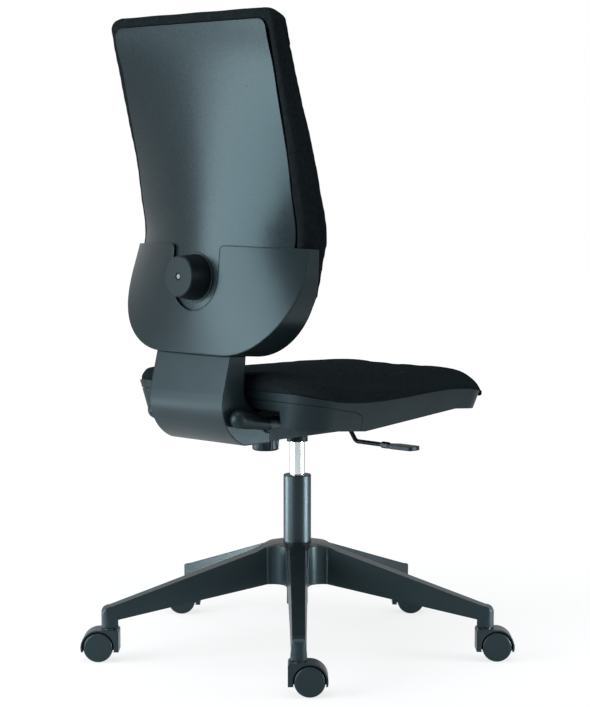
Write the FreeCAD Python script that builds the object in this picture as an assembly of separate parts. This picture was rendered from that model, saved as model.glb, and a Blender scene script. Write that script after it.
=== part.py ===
# Office chair: a five-arm base on casters, a gas column, a seat on a tilt mechanism, and a back that slides
# in a carrier on a J-shaped spine.
# Millimetres. The origin is on the floor under the column, +Z is up, and the sitter faces -Y.
import FreeCAD, Part
import math
import os

V = FreeCAD.Vector

# Clearances shared by every fit
RUNNING = 0.05          # radial clearance of a shaft or pin in its bore
SEAT_GAP = 0.3          # between a soft or loose piece and what it rests on
COVER_GAP = 0.6         # visible joint between two plastic covers

# Base
ARM_COUNT = 5
ARM_FIRST_ANGLE = 134.2
STEM_CIRCLE = 348.7
HUB_TOP = 192.0
HUB_BOTTOM = 120.0
ARM_SHOULDER_R = 80.0
ARM_SHOULDER_Z = 179.0
ARM_END_TOP = 96.0
ARM_END_BOTTOM = 58.0
ARM_END_UNDER = 73.0
ARM_HALF_HUB = 20.0
ARM_HALF_END = 13.5
ARM_DRAFT_HUB = 0.047
ARM_DRAFT_END = 0.08
ARM_WALL = 4.0
ARM_FILLET = 25.0
ARM_EDGE_ROUND = 2.5
RIB_THICKNESS = 3.0
RIB_PITCH = 48.0
SOCKET_DEPTH = 33.0

# Column
TUBE_RADIUS = 25.0
TUBE_WALL = 2.5
TUBE_TOP = 312.0
TUBE_BOTTOM = 78.0
TUBE_NECK_RADIUS = 19.0
TUBE_NECK_TOP = 116.0
TUBE_TAPER = 1.2        # how much the radius falls along the hub
TUBE_FLOOR = 4.0
BUSH_LENGTH = 80.0
BUSH_FLANGE = 1.6
CYLINDER_RADIUS = 14.0
CYLINDER_BOTTOM = 154.0
CYLINDER_TOP = 436.0
CYLINDER_WALL = 2.0
CYLINDER_END = 18.0
ROD_RADIUS = 5.0
ROD_TOP = 262.0
PISTON_HEIGHT = 14.0
BEARING_RADIUS = 13.0
BEARING_BALL = 2.0
BEARING_BALLS = 10
WASHER_THICKNESS = 2.0
CLIP_THICKNESS = 1.6
PIN_RADIUS = 3.4
PIN_STAND = 10.0        # how far the release pin stands over the cylinder
PIN_DEPTH = 12.0

# Casters
WHEEL_RADIUS = 26.0
WHEEL_WIDTH = 19.0
WHEEL_EDGE = 4.5
WHEEL_WALL = 4.0
WHEEL_HUB = 8.0
AXLE_RADIUS = 4.0
AXLE_COVER = 4.5        # closed outer face over the axle end
TRAIL = 18.0
WEB_THICKNESS = 5.0
WHEEL_SIDE_GAP = 0.6
HOOD_GAP = 1.9
HOOD_WALL = 2.8
HOOD_END_ANGLE = -15.0
HOOD_POST = 18.0        # from the stem axis to the back of the post
STEM_RADIUS = 5.5
STEM_COLLAR = 9.0
STEM_SEAT = 9.0         # length of stem pressed into the hood
TRAIL_RIGHT = 223.8     # directions in which the casters trail at rest
TRAIL_LEFT = 43.8

# Mechanism
COLLAR_RADIUS = 19.0
COLLAR_BOTTOM = 374.0
SOCKET_TAPER = 1.0
PLATE = 3.0
HOUSING_HALF = 60.0
HOUSING_FRONT = -95.0
HOUSING_REAR = 130.0
HOUSING_BOTTOM = 392.0
BOARD_BOTTOM = 452.0
BOARD_THICKNESS = 12.0
FLANGE_WIDTH = 28.0
TILT_Y = 165.0
TILT_Z = 430.0
TILT_AXLE_RADIUS = 6.0
LUG_RADIUS = 11.0
BOLT_RADIUS = 3.0
BOLT_HEAD = 6.0
BOLT_X = 74.0
BOLT_FRONT = -70.0
BOLT_REAR = 100.0
TENSION_Y = 81.0
TENSION_KNOB_RADIUS = 24.5
TENSION_KNOB_HEIGHT = 26.0
TENSION_KNOB_RIBS = 22
TENSION_SCREW_RADIUS = 5.0
TENSION_NUT_HEIGHT = 8.0
TENSION_NUT_HALF = 12.0
SPRING_RADIUS = 15.0
SPRING_WIRE = 4.0
SPRING_TURNS = 5

# Height lever on the sitter's right
LEVER_Y = -60.0
LEVER_PIVOT_Z = 408.0
LEVER_ROD = 4.0
LEVER_HOLE_GAP = 0.35
LEVER_LOW_Z = 376.0
LEVER_END = -229.0
GRIP_START = -152.0
GRIP_HALF = 15.0
GRIP_THICKNESS = 7.0

# Seat
SEAT_HALF = 237.0
SEAT_FRONT = -280.0
SEAT_REAR = 204.0
SEAT_FRONT_CORNER = 52.0
SEAT_REAR_CORNER = 60.0
SEAT_RIM_Z = 497.0
SHELL_BOTTOM_Z = 410.0
SHELL_DRAFT_SIDE = 25.0
SHELL_DRAFT_FRONT = 20.0
SHELL_DRAFT_REAR = 10.0
SHELL_WALL = 3.0
SHELL_OPENING_HALF = 97.0
COVER_OPENING_HALF = 150.0
COVER_OPENING_TOP = 457.0
BOARD_MARGIN = 10.0
ARM_MOUNT_X = 150.0
ARM_MOUNT_FRONT = -70.0
ARM_MOUNT_REAR = 10.0
ARM_MOUNT_HOLE = 3.5
ARM_MOUNT_Z = 419.0     # flat pads under the shell
BOSS_RADIUS = 9.0
SCREW_RADIUS = 2.0
SCREW_HEAD = 4.5
SCREW_HEAD_HEIGHT = 2.5
SCREW_BITE = 8.0

# Back: a carrier on the spine, and a back that slides in it along a line leaning forward by BACK_LEAN
BACK_LEAN = 4.5
BACK_Y = 255.0          # carrier's rear face at the height of the knob
BACK_Z = 678.0
CARRIER_DROP_X = 215.0   # the carrier's face falls forward at this x by the drops below
CARRIER_DROP_TOP = 66.0
CARRIER_DROP_LOW = 14.0
CARRIER_PLATE = 3.5
CARRIER_WALL = 4.0
CARRIER_RIM_N = -84.0    # the rim ends on this plane, forward of the carrier's face
CARRIER_TOP = 56.0
CARRIER_HALF_TOP = 210.0
CARRIER_ARC_X = 73.0
CARRIER_ARC_S = 10.0
CARRIER_ARC_RADIUS = 139.0
NOTCH_HALF = 56.0
NOTCH_ROUND = 9.0
PANEL_GAP = 1.5
PANEL_THICKNESS = 3.0
PANEL_HALF = 183.0
PANEL_TOP = 1103.0
PANEL_CORNER = 18.0
BACK_HALF = 199.5
BACK_TOP = 1121.0
BACK_CORNER = 26.0
BOARD_SETBACK = 21.5    # from the panel's rear face to the board's rear face
BACK_BOARD = 8.0
BAR_SETBACK = 11.0      # from the panel's rear face to the upright's rear face
BAR_THICKNESS = 6.0
BAR_HALF = 30.0
BAR_TOP = 82.0
BAR_BEND = 48.0
TONGUE_FRONT = 66.0
TONGUE_Z = 401.5        # middle of the upright's tongue under the seat
CROSS_TUBE_RADIUS = 9.0
CLAMP_PLATE = 4.0
STUD_RADIUS = 4.0
HEIGHT_TRAVEL = 60.0
KNOB_FACE_RADIUS = 34.5
KNOB_BASE_RADIUS = 39.5
KNOB_LENGTH = 38.5
PAD_RADIUS = 43.0
PAD_HEIGHT = 1.6

# Spine cover and tilt arms
SPINE_HALF = 90.0
SPINE_WALL = 3.0
SPINE_FOOT_FRONT = 161.0
SPINE_FOOT_BOTTOM = 395.0
TILT_ARM_INNER = 91.0
TILT_ARM_OUTER = 113.0
TILT_ARM_REAR_RADIUS = 15.5
TILT_ARM_BLOCK = 16.0
TILT_ARM_BLOCK_HALF = 10.5

BIG = 700.0             # reach of cutting solids


# General shapes

def box(x0, x1, y0, y1, z0, z1):
    return Part.makeBox(x1 - x0, y1 - y0, z1 - z0, V(x0, y0, z0))


def cylinder(radius, z0, z1, x=0.0, y=0.0):
    return Part.makeCylinder(radius, z1 - z0, V(x, y, z0))


def cylinder_x(radius, x0, x1, y, z):
    return Part.makeCylinder(radius, x1 - x0, V(x0, y, z), V(1, 0, 0))


def cone(r0, r1, z0, z1):
    return Part.makeCone(r0, r1, z1 - z0, V(0, 0, z0))


def line(a, b):
    return Part.LineSegment(a, b).toShape()


def arc(a, middle, b):
    return Part.Arc(a, middle, b).toShape()


def face_of(edges):
    return Part.Face(Part.Wire(edges))


def polygon(points):
    return Part.makePolygon(list(points) + [points[0]])


def prism_x(outline, x0, x1):
    """Solid from an outline of (y, z) points."""
    wire = polygon([V(x0, y, z) for y, z in outline])
    return Part.Face(wire).extrude(V(x1 - x0, 0, 0))


def spline(points):
    curve = Part.BSplineCurve()
    curve.interpolate(points)
    return curve.toShape()


def below_curve(points, floor_z):
    """Everything below a smooth line of (y, z) points, across the whole width."""
    line_points = [V(-BIG, y, z) for y, z in points]
    first = line_points[0]
    last = line_points[-1]
    low_last = V(-BIG, last.y, floor_z)
    low_first = V(-BIG, first.y, floor_z)
    edges = [spline(line_points), line(last, low_last), line(low_last, low_first), line(low_first, first)]
    return face_of(edges).extrude(V(2 * BIG, 0, 0))


def fuse(shapes):
    shapes = list(shapes)
    if len(shapes) == 1:
        return shapes[0]
    return shapes[0].multiFuse(shapes[1:]).removeSplitter()


def group(shapes):
    return Part.makeCompound(list(shapes))


def turned(shape, angle):
    copy = shape.copy()
    copy.rotate(V(0, 0, 0), V(0, 0, 1), angle)
    return copy


def mirrored_x(shape):
    return shape.mirror(V(0, 0, 0), V(1, 0, 0))


# Base

def arm_top(r):
    """Height of the straight part of an arm's top edge."""
    slope = (ARM_END_TOP - ARM_SHOULDER_Z) / (STEM_CIRCLE - ARM_SHOULDER_R)
    return ARM_SHOULDER_Z + slope * (r - ARM_SHOULDER_R)


def arm_flanks(inset):
    """Long wedge between the two drafted flanks of an arm along +X."""
    wires = []
    low = 0.0
    high = HUB_TOP + 20.0
    stations = (
        (0.0, ARM_HALF_HUB, ARM_DRAFT_HUB, HUB_BOTTOM),
        (STEM_CIRCLE + 20.0, ARM_HALF_END, ARM_DRAFT_END, ARM_END_BOTTOM),
    )
    for r, half, draft, z_half in stations:
        at_low = half + draft * (z_half - low) - inset
        at_high = max(half - draft * (high - z_half) - inset, 0.4)
        points = [V(r, -at_low, low), V(r, at_low, low), V(r, at_high, high), V(r, -at_high, high)]
        wires.append(polygon(points))
    return Part.makeLoft(wires, True, True)


def arm_body():
    tip = STEM_CIRCLE + ARM_HALF_END
    shoulder = V(ARM_SHOULDER_R, 0, ARM_SHOULDER_Z)
    round_start = V(STEM_CIRCLE - 4.0, 0, arm_top(STEM_CIRCLE - 4.0))
    round_end = V(tip, 0, ARM_END_TOP - ARM_HALF_END)
    round_middle = V(tip - 4.0, 0, ARM_END_TOP - 4.5)
    end_inner = STEM_CIRCLE - ARM_HALF_END
    points = {
        "hub": V(0, 0, HUB_TOP),
        "rim": V(TUBE_RADIUS + 4.0, 0, HUB_TOP),
        "tip": V(tip, 0, ARM_END_BOTTOM),
        "heel": V(end_inner, 0, ARM_END_BOTTOM),
        "under": V(end_inner, 0, ARM_END_UNDER),
        "root": V(60.0, 0, HUB_BOTTOM),
        "low": V(0, 0, HUB_BOTTOM),
    }
    shoulder_middle = V(ARM_SHOULDER_R - 25.0, 0, HUB_TOP - 3.2)
    edges = [
        line(points["hub"], points["rim"]),
        arc(points["rim"], shoulder_middle, shoulder),
        line(shoulder, round_start),
        arc(round_start, round_middle, round_end),
        line(round_end, points["tip"]),
        line(points["tip"], points["heel"]),
        line(points["heel"], points["under"]),
        line(points["under"], points["root"]),
        line(points["root"], points["low"]),
        line(points["low"], points["hub"]),
    ]
    side = face_of(edges)
    side.translate(V(0, -50.0, 0))
    arm = side.extrude(V(0, 100.0, 0)).common(arm_flanks(0.0))
    return arm.common(arm_end_round())


def arm_end_round():
    """Rounds the arm's outer end in plan, about the stem."""
    keep = box(-50.0, STEM_CIRCLE, -50.0, 50.0, 0.0, HUB_TOP + 50.0)
    return keep.fuse(cylinder(ARM_HALF_END, 0.0, HUB_TOP + 50.0, STEM_CIRCLE)).removeSplitter()


def arm_cavity():
    """Open hollow under an arm, broken by cross ribs."""
    start = TUBE_RADIUS + 8.0
    stop = STEM_CIRCLE - ARM_HALF_END - 2.0
    outline = [
        V(start, -50.0, HUB_TOP - 14.0),
        V(ARM_SHOULDER_R, -50.0, ARM_SHOULDER_Z - ARM_WALL - 1.0),
        V(stop, -50.0, arm_top(stop) - ARM_WALL),
        V(stop, -50.0, 0.0),
        V(start, -50.0, 0.0),
    ]
    hollow = Part.Face(polygon(outline)).extrude(V(0, 100.0, 0)).common(arm_flanks(ARM_WALL))
    rib_r = ARM_SHOULDER_R + 20.0
    while rib_r < stop - RIB_PITCH / 2:
        hollow = hollow.cut(box(rib_r, rib_r + RIB_THICKNESS, -50.0, 50.0, 0.0, HUB_TOP))
        rib_r += RIB_PITCH
    return hollow


def hub_body():
    """Hub whose walls run in hollow rounds from one arm to the next."""
    half_step = math.pi / ARM_COUNT
    reach = (ARM_HALF_HUB + ARM_FILLET) / math.sin(half_step)
    along = reach * math.cos(half_step)
    edges = []
    corners = []
    for k in range(ARM_COUNT):
        axis = 2 * half_step * k
        ux, uy = math.cos(axis), math.sin(axis)
        right = V(along * ux + ARM_HALF_HUB * uy, along * uy - ARM_HALF_HUB * ux, HUB_BOTTOM)
        left = V(along * ux - ARM_HALF_HUB * uy, along * uy + ARM_HALF_HUB * ux, HUB_BOTTOM)
        corners.append((right, left))
    for k in range(ARM_COUNT):
        right, left = corners[k]
        next_right = corners[(k + 1) % ARM_COUNT][0]
        between = 2 * half_step * k + half_step
        waist = reach - ARM_FILLET
        middle = V(waist * math.cos(between), waist * math.sin(between), HUB_BOTTOM)
        edges.append(line(right, left))
        edges.append(arc(left, middle, next_right))
    block = face_of(edges).extrude(V(0, 0, HUB_TOP - HUB_BOTTOM))
    dome_edges = [
        line(V(0, 0, HUB_BOTTOM), V(0, 0, HUB_TOP)),
        line(V(0, 0, HUB_TOP), V(TUBE_RADIUS + 4.0, 0, HUB_TOP)),
        arc(V(TUBE_RADIUS + 4.0, 0, HUB_TOP), V(ARM_SHOULDER_R - 25.0, 0, HUB_TOP - 3.2),
            V(ARM_SHOULDER_R, 0, ARM_SHOULDER_Z)),
        line(V(ARM_SHOULDER_R, 0, ARM_SHOULDER_Z), V(ARM_SHOULDER_R, 0, HUB_BOTTOM)),
        line(V(ARM_SHOULDER_R, 0, HUB_BOTTOM), V(0, 0, HUB_BOTTOM)),
    ]
    dome = face_of(dome_edges).revolve(V(0, 0, 0), V(0, 0, 1), 360.0)
    return block.common(dome)


def taper_radius(z):
    """Outer radius of the column tube, which narrows inside the hub."""
    if z >= HUB_TOP:
        return TUBE_RADIUS
    depth = min((HUB_TOP - z) / (HUB_TOP - HUB_BOTTOM), 1.0)
    return TUBE_RADIUS - TUBE_TAPER * depth


def star_base():
    arm = arm_body()
    cavity = arm_cavity()
    socket = cylinder(STEM_RADIUS + RUNNING, ARM_END_BOTTOM - 1.0, ARM_END_BOTTOM + SOCKET_DEPTH, STEM_CIRCLE)
    arms = [turned(arm, 360.0 / ARM_COUNT * k) for k in range(ARM_COUNT)]
    cuts = [turned(cavity.fuse(socket), 360.0 / ARM_COUNT * k) for k in range(ARM_COUNT)]
    bore = cone(taper_radius(HUB_BOTTOM), taper_radius(HUB_TOP), HUB_BOTTOM, HUB_TOP)
    body = fuse([hub_body()] + arms)
    for cut in cuts:
        body = body.cut(cut)
    return turned(body.cut(bore), ARM_FIRST_ANGLE)


# Column

def column_tube():
    inner = TUBE_RADIUS - TUBE_WALL
    low_radius = taper_radius(HUB_BOTTOM)
    outer = fuse([
        cylinder(TUBE_NECK_RADIUS, TUBE_BOTTOM, TUBE_NECK_TOP),
        cone(TUBE_NECK_RADIUS, low_radius, TUBE_NECK_TOP, HUB_BOTTOM),
        cone(low_radius, TUBE_RADIUS, HUB_BOTTOM, HUB_TOP),
        cylinder(TUBE_RADIUS, HUB_TOP, TUBE_TOP),
    ])
    low_inner = TUBE_NECK_RADIUS - TUBE_WALL
    bore = fuse([
        cylinder(low_inner, TUBE_BOTTOM + TUBE_FLOOR, HUB_TOP),
        cylinder(inner, HUB_TOP, TUBE_TOP + 1.0),
    ])
    rod_hole = cylinder(ROD_RADIUS + RUNNING, TUBE_BOTTOM - 1.0, TUBE_BOTTOM + TUBE_FLOOR + 1.0)
    return outer.cut(bore).cut(rod_hole)


def guide_bush():
    inner = TUBE_RADIUS - TUBE_WALL
    body = cylinder(inner, TUBE_TOP - BUSH_LENGTH, TUBE_TOP)
    flange = cylinder(TUBE_RADIUS - 0.8, TUBE_TOP, TUBE_TOP + BUSH_FLANGE)
    bore = cylinder(CYLINDER_RADIUS + RUNNING, TUBE_TOP - BUSH_LENGTH - 1.0, TUBE_TOP + BUSH_FLANGE + 1.0)
    return body.fuse(flange).removeSplitter().cut(bore)


def washer(inner, outer, z0, thickness):
    return cylinder(outer, z0, z0 + thickness).cut(cylinder(inner, z0 - 1.0, z0 + thickness + 1.0))


BEARING_BOTTOM = TUBE_BOTTOM + TUBE_FLOOR
BEARING_TOP = BEARING_BOTTOM + 2 * WASHER_THICKNESS + 2 * BEARING_BALL


def thrust_bearing():
    """Lower race, balls and upper race on the tube's floor."""
    bore = ROD_RADIUS + RUNNING
    ball_z = BEARING_BOTTOM + WASHER_THICKNESS + BEARING_BALL
    pieces = [washer(bore, BEARING_RADIUS, BEARING_BOTTOM, WASHER_THICKNESS)]
    ball_circle = (ROD_RADIUS + BEARING_RADIUS) / 2
    for k in range(BEARING_BALLS):
        angle = 2 * math.pi * k / BEARING_BALLS
        place = V(ball_circle * math.cos(angle), ball_circle * math.sin(angle), ball_z)
        pieces.append(Part.makeSphere(BEARING_BALL - 0.02, place))
    pieces.append(washer(bore, BEARING_RADIUS, BEARING_TOP - WASHER_THICKNESS, WASHER_THICKNESS))
    return group(pieces)


CYLINDER_BORE = CYLINDER_RADIUS - CYLINDER_WALL


def piston_rod():
    """Rod with its piston, and the shoulder that stands on the bearing."""
    low = TUBE_BOTTOM - 2 * CLIP_THICKNESS - 3.0
    rod = cylinder(ROD_RADIUS, low, ROD_TOP)
    shoulder = cylinder(ROD_RADIUS + 3.0, BEARING_TOP, BEARING_TOP + 4.0)
    piston = cylinder(CYLINDER_BORE - RUNNING, ROD_TOP - PISTON_HEIGHT, ROD_TOP)
    groove_z = TUBE_BOTTOM - CLIP_THICKNESS - SEAT_GAP
    groove = washer(ROD_RADIUS - 1.2, ROD_RADIUS + 2.0, groove_z, CLIP_THICKNESS)
    return fuse([rod, shoulder, piston]).cut(groove)


def rod_clip():
    """Open spring clip in the rod's groove, under the tube's floor."""
    z0 = TUBE_BOTTOM - CLIP_THICKNESS - SEAT_GAP
    ring = washer(ROD_RADIUS - 1.2, ROD_RADIUS + 6.0, z0, CLIP_THICKNESS)
    mouth = box(0.0, 30.0, -(ROD_RADIUS - 1.2), ROD_RADIUS - 1.2, z0 - 1.0, z0 + CLIP_THICKNESS + 1.0)
    return ring.cut(mouth)


def socket_cone(extra=0.0):
    """Taper that the cylinder's head and the mechanism's socket share."""
    return cone(CYLINDER_RADIUS + extra, CYLINDER_RADIUS - SOCKET_TAPER + extra, COLLAR_BOTTOM, CYLINDER_TOP)


def gas_cylinder():
    outer = cylinder(CYLINDER_RADIUS, CYLINDER_BOTTOM, COLLAR_BOTTOM).fuse(socket_cone()).removeSplitter()
    bore = cylinder(CYLINDER_BORE, CYLINDER_BOTTOM + CYLINDER_END, CYLINDER_TOP - CYLINDER_END)
    rod_hole = cylinder(ROD_RADIUS + RUNNING, CYLINDER_BOTTOM - 1.0, CYLINDER_BOTTOM + CYLINDER_END + 1.0)
    pin_hole = cylinder(PIN_RADIUS + RUNNING, CYLINDER_TOP - CYLINDER_END - 1.0, CYLINDER_TOP + 1.0)
    return outer.cut(bore).cut(rod_hole).cut(pin_hole)


def release_pin():
    top = CYLINDER_TOP + PIN_STAND
    pin = cylinder(PIN_RADIUS, CYLINDER_TOP - PIN_DEPTH, top)
    return pin.makeChamfer(0.6, [edge for edge in pin.Edges if abs(edge.BoundBox.ZMin - top) < 0.01])


# Casters. Each is made with its stem on the Z axis, trailing along +X, then set at its arm's end.

HOOD_INNER = WHEEL_RADIUS + HOOD_GAP
HOOD_OUTER = HOOD_INNER + HOOD_WALL
HOOD_TOP = WHEEL_RADIUS + HOOD_OUTER
WHEEL_INNER = WEB_THICKNESS / 2 + WHEEL_SIDE_GAP
WHEEL_OUTER = WHEEL_INNER + WHEEL_WIDTH
HOOD_HALF = WHEEL_OUTER - 1.0


def caster_body():
    end = math.radians(HOOD_END_ANGLE)
    low = WHEEL_RADIUS + HOOD_OUTER * math.sin(end)
    tip = V(TRAIL + HOOD_OUTER * math.cos(end), 0, low)
    top = V(TRAIL, 0, HOOD_TOP)
    corner = 5.0
    back = -HOOD_POST
    turn = corner * (1.0 - math.sqrt(0.5))
    edges = [
        line(V(back, 0, low), V(back, 0, HOOD_TOP - corner)),
        arc(V(back, 0, HOOD_TOP - corner), V(back + turn, 0, HOOD_TOP - turn), V(back + corner, 0, HOOD_TOP)),
        line(V(back + corner, 0, HOOD_TOP), top),
        arc(top, V(TRAIL + HOOD_OUTER * math.sqrt(0.5), 0, WHEEL_RADIUS + HOOD_OUTER * math.sqrt(0.5)), tip),
        line(tip, V(back, 0, low)),
    ]
    outline = face_of(edges)
    outline.translate(V(0, -HOOD_HALF, 0))
    body = outline.extrude(V(0, 2 * HOOD_HALF, 0))
    well_length = HOOD_HALF + 10.0
    for side in (-1, 1):
        start = V(TRAIL, side * WEB_THICKNESS / 2, WHEEL_RADIUS)
        body = body.cut(Part.makeCylinder(HOOD_INNER, well_length, start, V(0, side, 0)))
    axle_hole = Part.makeCylinder(AXLE_RADIUS, WEB_THICKNESS + 2.0,
                                  V(TRAIL, -WEB_THICKNESS / 2 - 1.0, WHEEL_RADIUS), V(0, 1, 0))
    stem_hole = cylinder(STEM_RADIUS, HOOD_TOP - STEM_SEAT, HOOD_TOP + 1.0)
    return body.cut(axle_hole).cut(stem_hole)


def caster_stem():
    collar_top = ARM_END_BOTTOM - SEAT_GAP
    socket_end = ARM_END_BOTTOM + SOCKET_DEPTH
    shank = cylinder(STEM_RADIUS, HOOD_TOP - STEM_SEAT, socket_end - 1.5)
    collar = cylinder(STEM_COLLAR, HOOD_TOP, collar_top)
    return shank.fuse(collar).removeSplitter()


AXLE_HALF = WHEEL_OUTER - AXLE_COVER


def caster_axle():
    return Part.makeCylinder(AXLE_RADIUS, 2 * AXLE_HALF, V(TRAIL, -AXLE_HALF, WHEEL_RADIUS), V(0, 1, 0))


def caster_wheel(side):
    """Dished wheel: closed outer face, hollow towards the web, hub on the axle."""
    bore = AXLE_RADIUS + RUNNING
    tread = WHEEL_RADIUS
    rim = tread - WHEEL_WALL
    floor = WHEEL_OUTER - WHEEL_WALL
    blind = AXLE_HALF + SEAT_GAP
    turn = WHEEL_EDGE * (1.0 - math.sqrt(0.5))
    inner_edge = 1.2

    def at(r, y):
        return V(r, y, 0)

    edges = [
        line(at(0, blind), at(bore, blind)),
        line(at(bore, blind), at(bore, WHEEL_INNER)),
        line(at(bore, WHEEL_INNER), at(WHEEL_HUB, WHEEL_INNER)),
        line(at(WHEEL_HUB, WHEEL_INNER), at(WHEEL_HUB, floor)),
        line(at(WHEEL_HUB, floor), at(rim, floor)),
        line(at(rim, floor), at(rim, WHEEL_INNER)),
        line(at(rim, WHEEL_INNER), at(tread - inner_edge, WHEEL_INNER)),
        line(at(tread - inner_edge, WHEEL_INNER), at(tread, WHEEL_INNER + inner_edge)),
        line(at(tread, WHEEL_INNER + inner_edge), at(tread, WHEEL_OUTER - WHEEL_EDGE)),
        arc(at(tread, WHEEL_OUTER - WHEEL_EDGE), at(tread - turn, WHEEL_OUTER - turn),
            at(tread - WHEEL_EDGE, WHEEL_OUTER)),
        line(at(tread - WHEEL_EDGE, WHEEL_OUTER), at(0, WHEEL_OUTER)),
        line(at(0, WHEEL_OUTER), at(0, blind)),
    ]
    wheel = face_of(edges).revolve(V(0, 0, 0), V(0, 1, 0), 360.0)
    wheel.translate(V(TRAIL, 0, WHEEL_RADIUS))
    if side < 0:
        wheel = wheel.mirror(V(0, 0, 0), V(0, 1, 0))
    return wheel


def caster_places():
    """Stem position and trail direction of each caster, from the arm at the viewer round to the left."""
    places = []
    for k in range(ARM_COUNT):
        angle = ARM_FIRST_ANGLE + 360.0 / ARM_COUNT * k
        trail = TRAIL_RIGHT if k <= 2 else TRAIL_LEFT
        x = STEM_CIRCLE * math.cos(math.radians(angle))
        y = STEM_CIRCLE * math.sin(math.radians(angle))
        places.append((x, y, trail))
    return places


def casters():
    pieces = {
        "body": caster_body(),
        "stem": caster_stem(),
        "axle": caster_axle(),
        "wheel_left": caster_wheel(1),
        "wheel_right": caster_wheel(-1),
    }
    placed = {}
    for number, (x, y, trail) in enumerate(caster_places(), start=1):
        for name, shape in pieces.items():
            copy = turned(shape, trail)
            copy.translate(V(x, y, 0))
            placed["caster_%d_%s" % (number, name)] = copy
    return placed


# Mechanism under the seat

def mechanism_housing():
    """Pressed channel with the column's socket, mounting flanges and rear lugs for the tilt axle."""
    outline_top = BOARD_BOTTOM
    lug_low = TILT_Z - LUG_RADIUS
    lug_high = TILT_Z + LUG_RADIUS
    side_edges = [
        (HOUSING_FRONT, HOUSING_BOTTOM),
        (HOUSING_REAR, HOUSING_BOTTOM),
        (TILT_Y - 22.0, lug_low + 1.5),
        (TILT_Y, lug_low),
        (TILT_Y, lug_high),
        (TILT_Y - 20.0, outline_top),
        (HOUSING_FRONT, outline_top),
    ]
    sides = []
    for x0 in (-HOUSING_HALF, HOUSING_HALF - PLATE):
        plate = prism_x(side_edges, x0, x0 + PLATE)
        lug = cylinder_x(LUG_RADIUS, x0, x0 + PLATE, TILT_Y, TILT_Z)
        sides.append(plate.fuse(lug).removeSplitter())
    bottom = box(-HOUSING_HALF, HOUSING_HALF, HOUSING_FRONT, HOUSING_REAR, HOUSING_BOTTOM, HOUSING_BOTTOM + PLATE)
    front = box(-HOUSING_HALF, HOUSING_HALF, HOUSING_FRONT, HOUSING_FRONT + PLATE, HOUSING_BOTTOM, BOARD_BOTTOM)
    bridge = box(-HOUSING_HALF, HOUSING_HALF, -24.0, 24.0, CYLINDER_TOP - 2 * PLATE, CYLINDER_TOP - PLATE)
    flanges = []
    for x0 in (-HOUSING_HALF - FLANGE_WIDTH, HOUSING_HALF - PLATE):
        flanges.append(box(x0, x0 + FLANGE_WIDTH + PLATE, HOUSING_FRONT, HOUSING_REAR,
                           BOARD_BOTTOM - PLATE, BOARD_BOTTOM))
    collar = cylinder(COLLAR_RADIUS, COLLAR_BOTTOM, CYLINDER_TOP)
    body = fuse(sides + [bottom, front, bridge, collar] + flanges)
    body = body.cut(socket_cone())
    body = body.cut(cylinder_x(TILT_AXLE_RADIUS, -BIG, BIG, TILT_Y, TILT_Z))
    body = body.cut(cylinder_x(LEVER_ROD + LEVER_HOLE_GAP, -BIG, 0.0, LEVER_Y, LEVER_PIVOT_Z))
    body = body.cut(cylinder(TENSION_SCREW_RADIUS + RUNNING, HOUSING_BOTTOM - 1.0, HOUSING_BOTTOM + PLATE + 1.0,
                             0.0, TENSION_Y))
    for x, y in bolt_places():
        body = body.cut(cylinder(BOLT_RADIUS, BOARD_BOTTOM - PLATE - 1.0, BOARD_BOTTOM + 1.0, x, y))
    return body


def bolt_places():
    return [(x, y) for x in (-BOLT_X, BOLT_X) for y in (BOLT_FRONT, BOLT_REAR)]


BOARD_TOP = BOARD_BOTTOM + BOARD_THICKNESS


def mechanism_bolts():
    """Hexagon bolts up through the flanges into the seat board."""
    bolts = []
    flange_under = BOARD_BOTTOM - PLATE
    for x, y in bolt_places():
        corners = []
        for k in range(6):
            angle = math.pi / 3 * k
            corners.append(V(x + BOLT_HEAD * math.cos(angle), y + BOLT_HEAD * math.sin(angle), flange_under - 4.0))
        head = Part.Face(polygon(corners)).extrude(V(0, 0, 4.0))
        shank = cylinder(BOLT_RADIUS, flange_under, BOARD_TOP, x, y)
        bolts.append(head.fuse(shank).removeSplitter())
    return bolts


TEE_RADIUS = 4.5
TEE_FLANGE = 9.0
TEE_THICKNESS = 1.2


def arm_mount_places():
    return [(x, y) for x in (-ARM_MOUNT_X, ARM_MOUNT_X) for y in (ARM_MOUNT_FRONT, ARM_MOUNT_REAR)]


def tee_nuts():
    """Tee nuts pressed into the seat board from above, for the mechanism and for armrests."""
    nuts = []
    for x, y in bolt_places() + arm_mount_places():
        barrel = cylinder(TEE_RADIUS, BOARD_BOTTOM + 2.0, BOARD_TOP, x, y)
        flange = cylinder(TEE_FLANGE, BOARD_TOP - TEE_THICKNESS, BOARD_TOP, x, y)
        hole = cylinder(BOLT_RADIUS + RUNNING, BOARD_BOTTOM, BOARD_TOP + 1.0, x, y)
        nuts.append(barrel.fuse(flange).removeSplitter().cut(hole))
    return nuts


def tilt_axle():
    half = TILT_ARM_OUTER - 4.0
    return cylinder_x(TILT_AXLE_RADIUS, -half, half, TILT_Y, TILT_Z)


SCREW_TOP = BOARD_BOTTOM - 1.0
NUT_TOP = BOARD_BOTTOM - 3.5
NUT_BOTTOM = NUT_TOP - TENSION_NUT_HEIGHT
KNOB_TOP = HOUSING_BOTTOM - SEAT_GAP
KNOB_LOW = KNOB_TOP - TENSION_KNOB_HEIGHT


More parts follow.
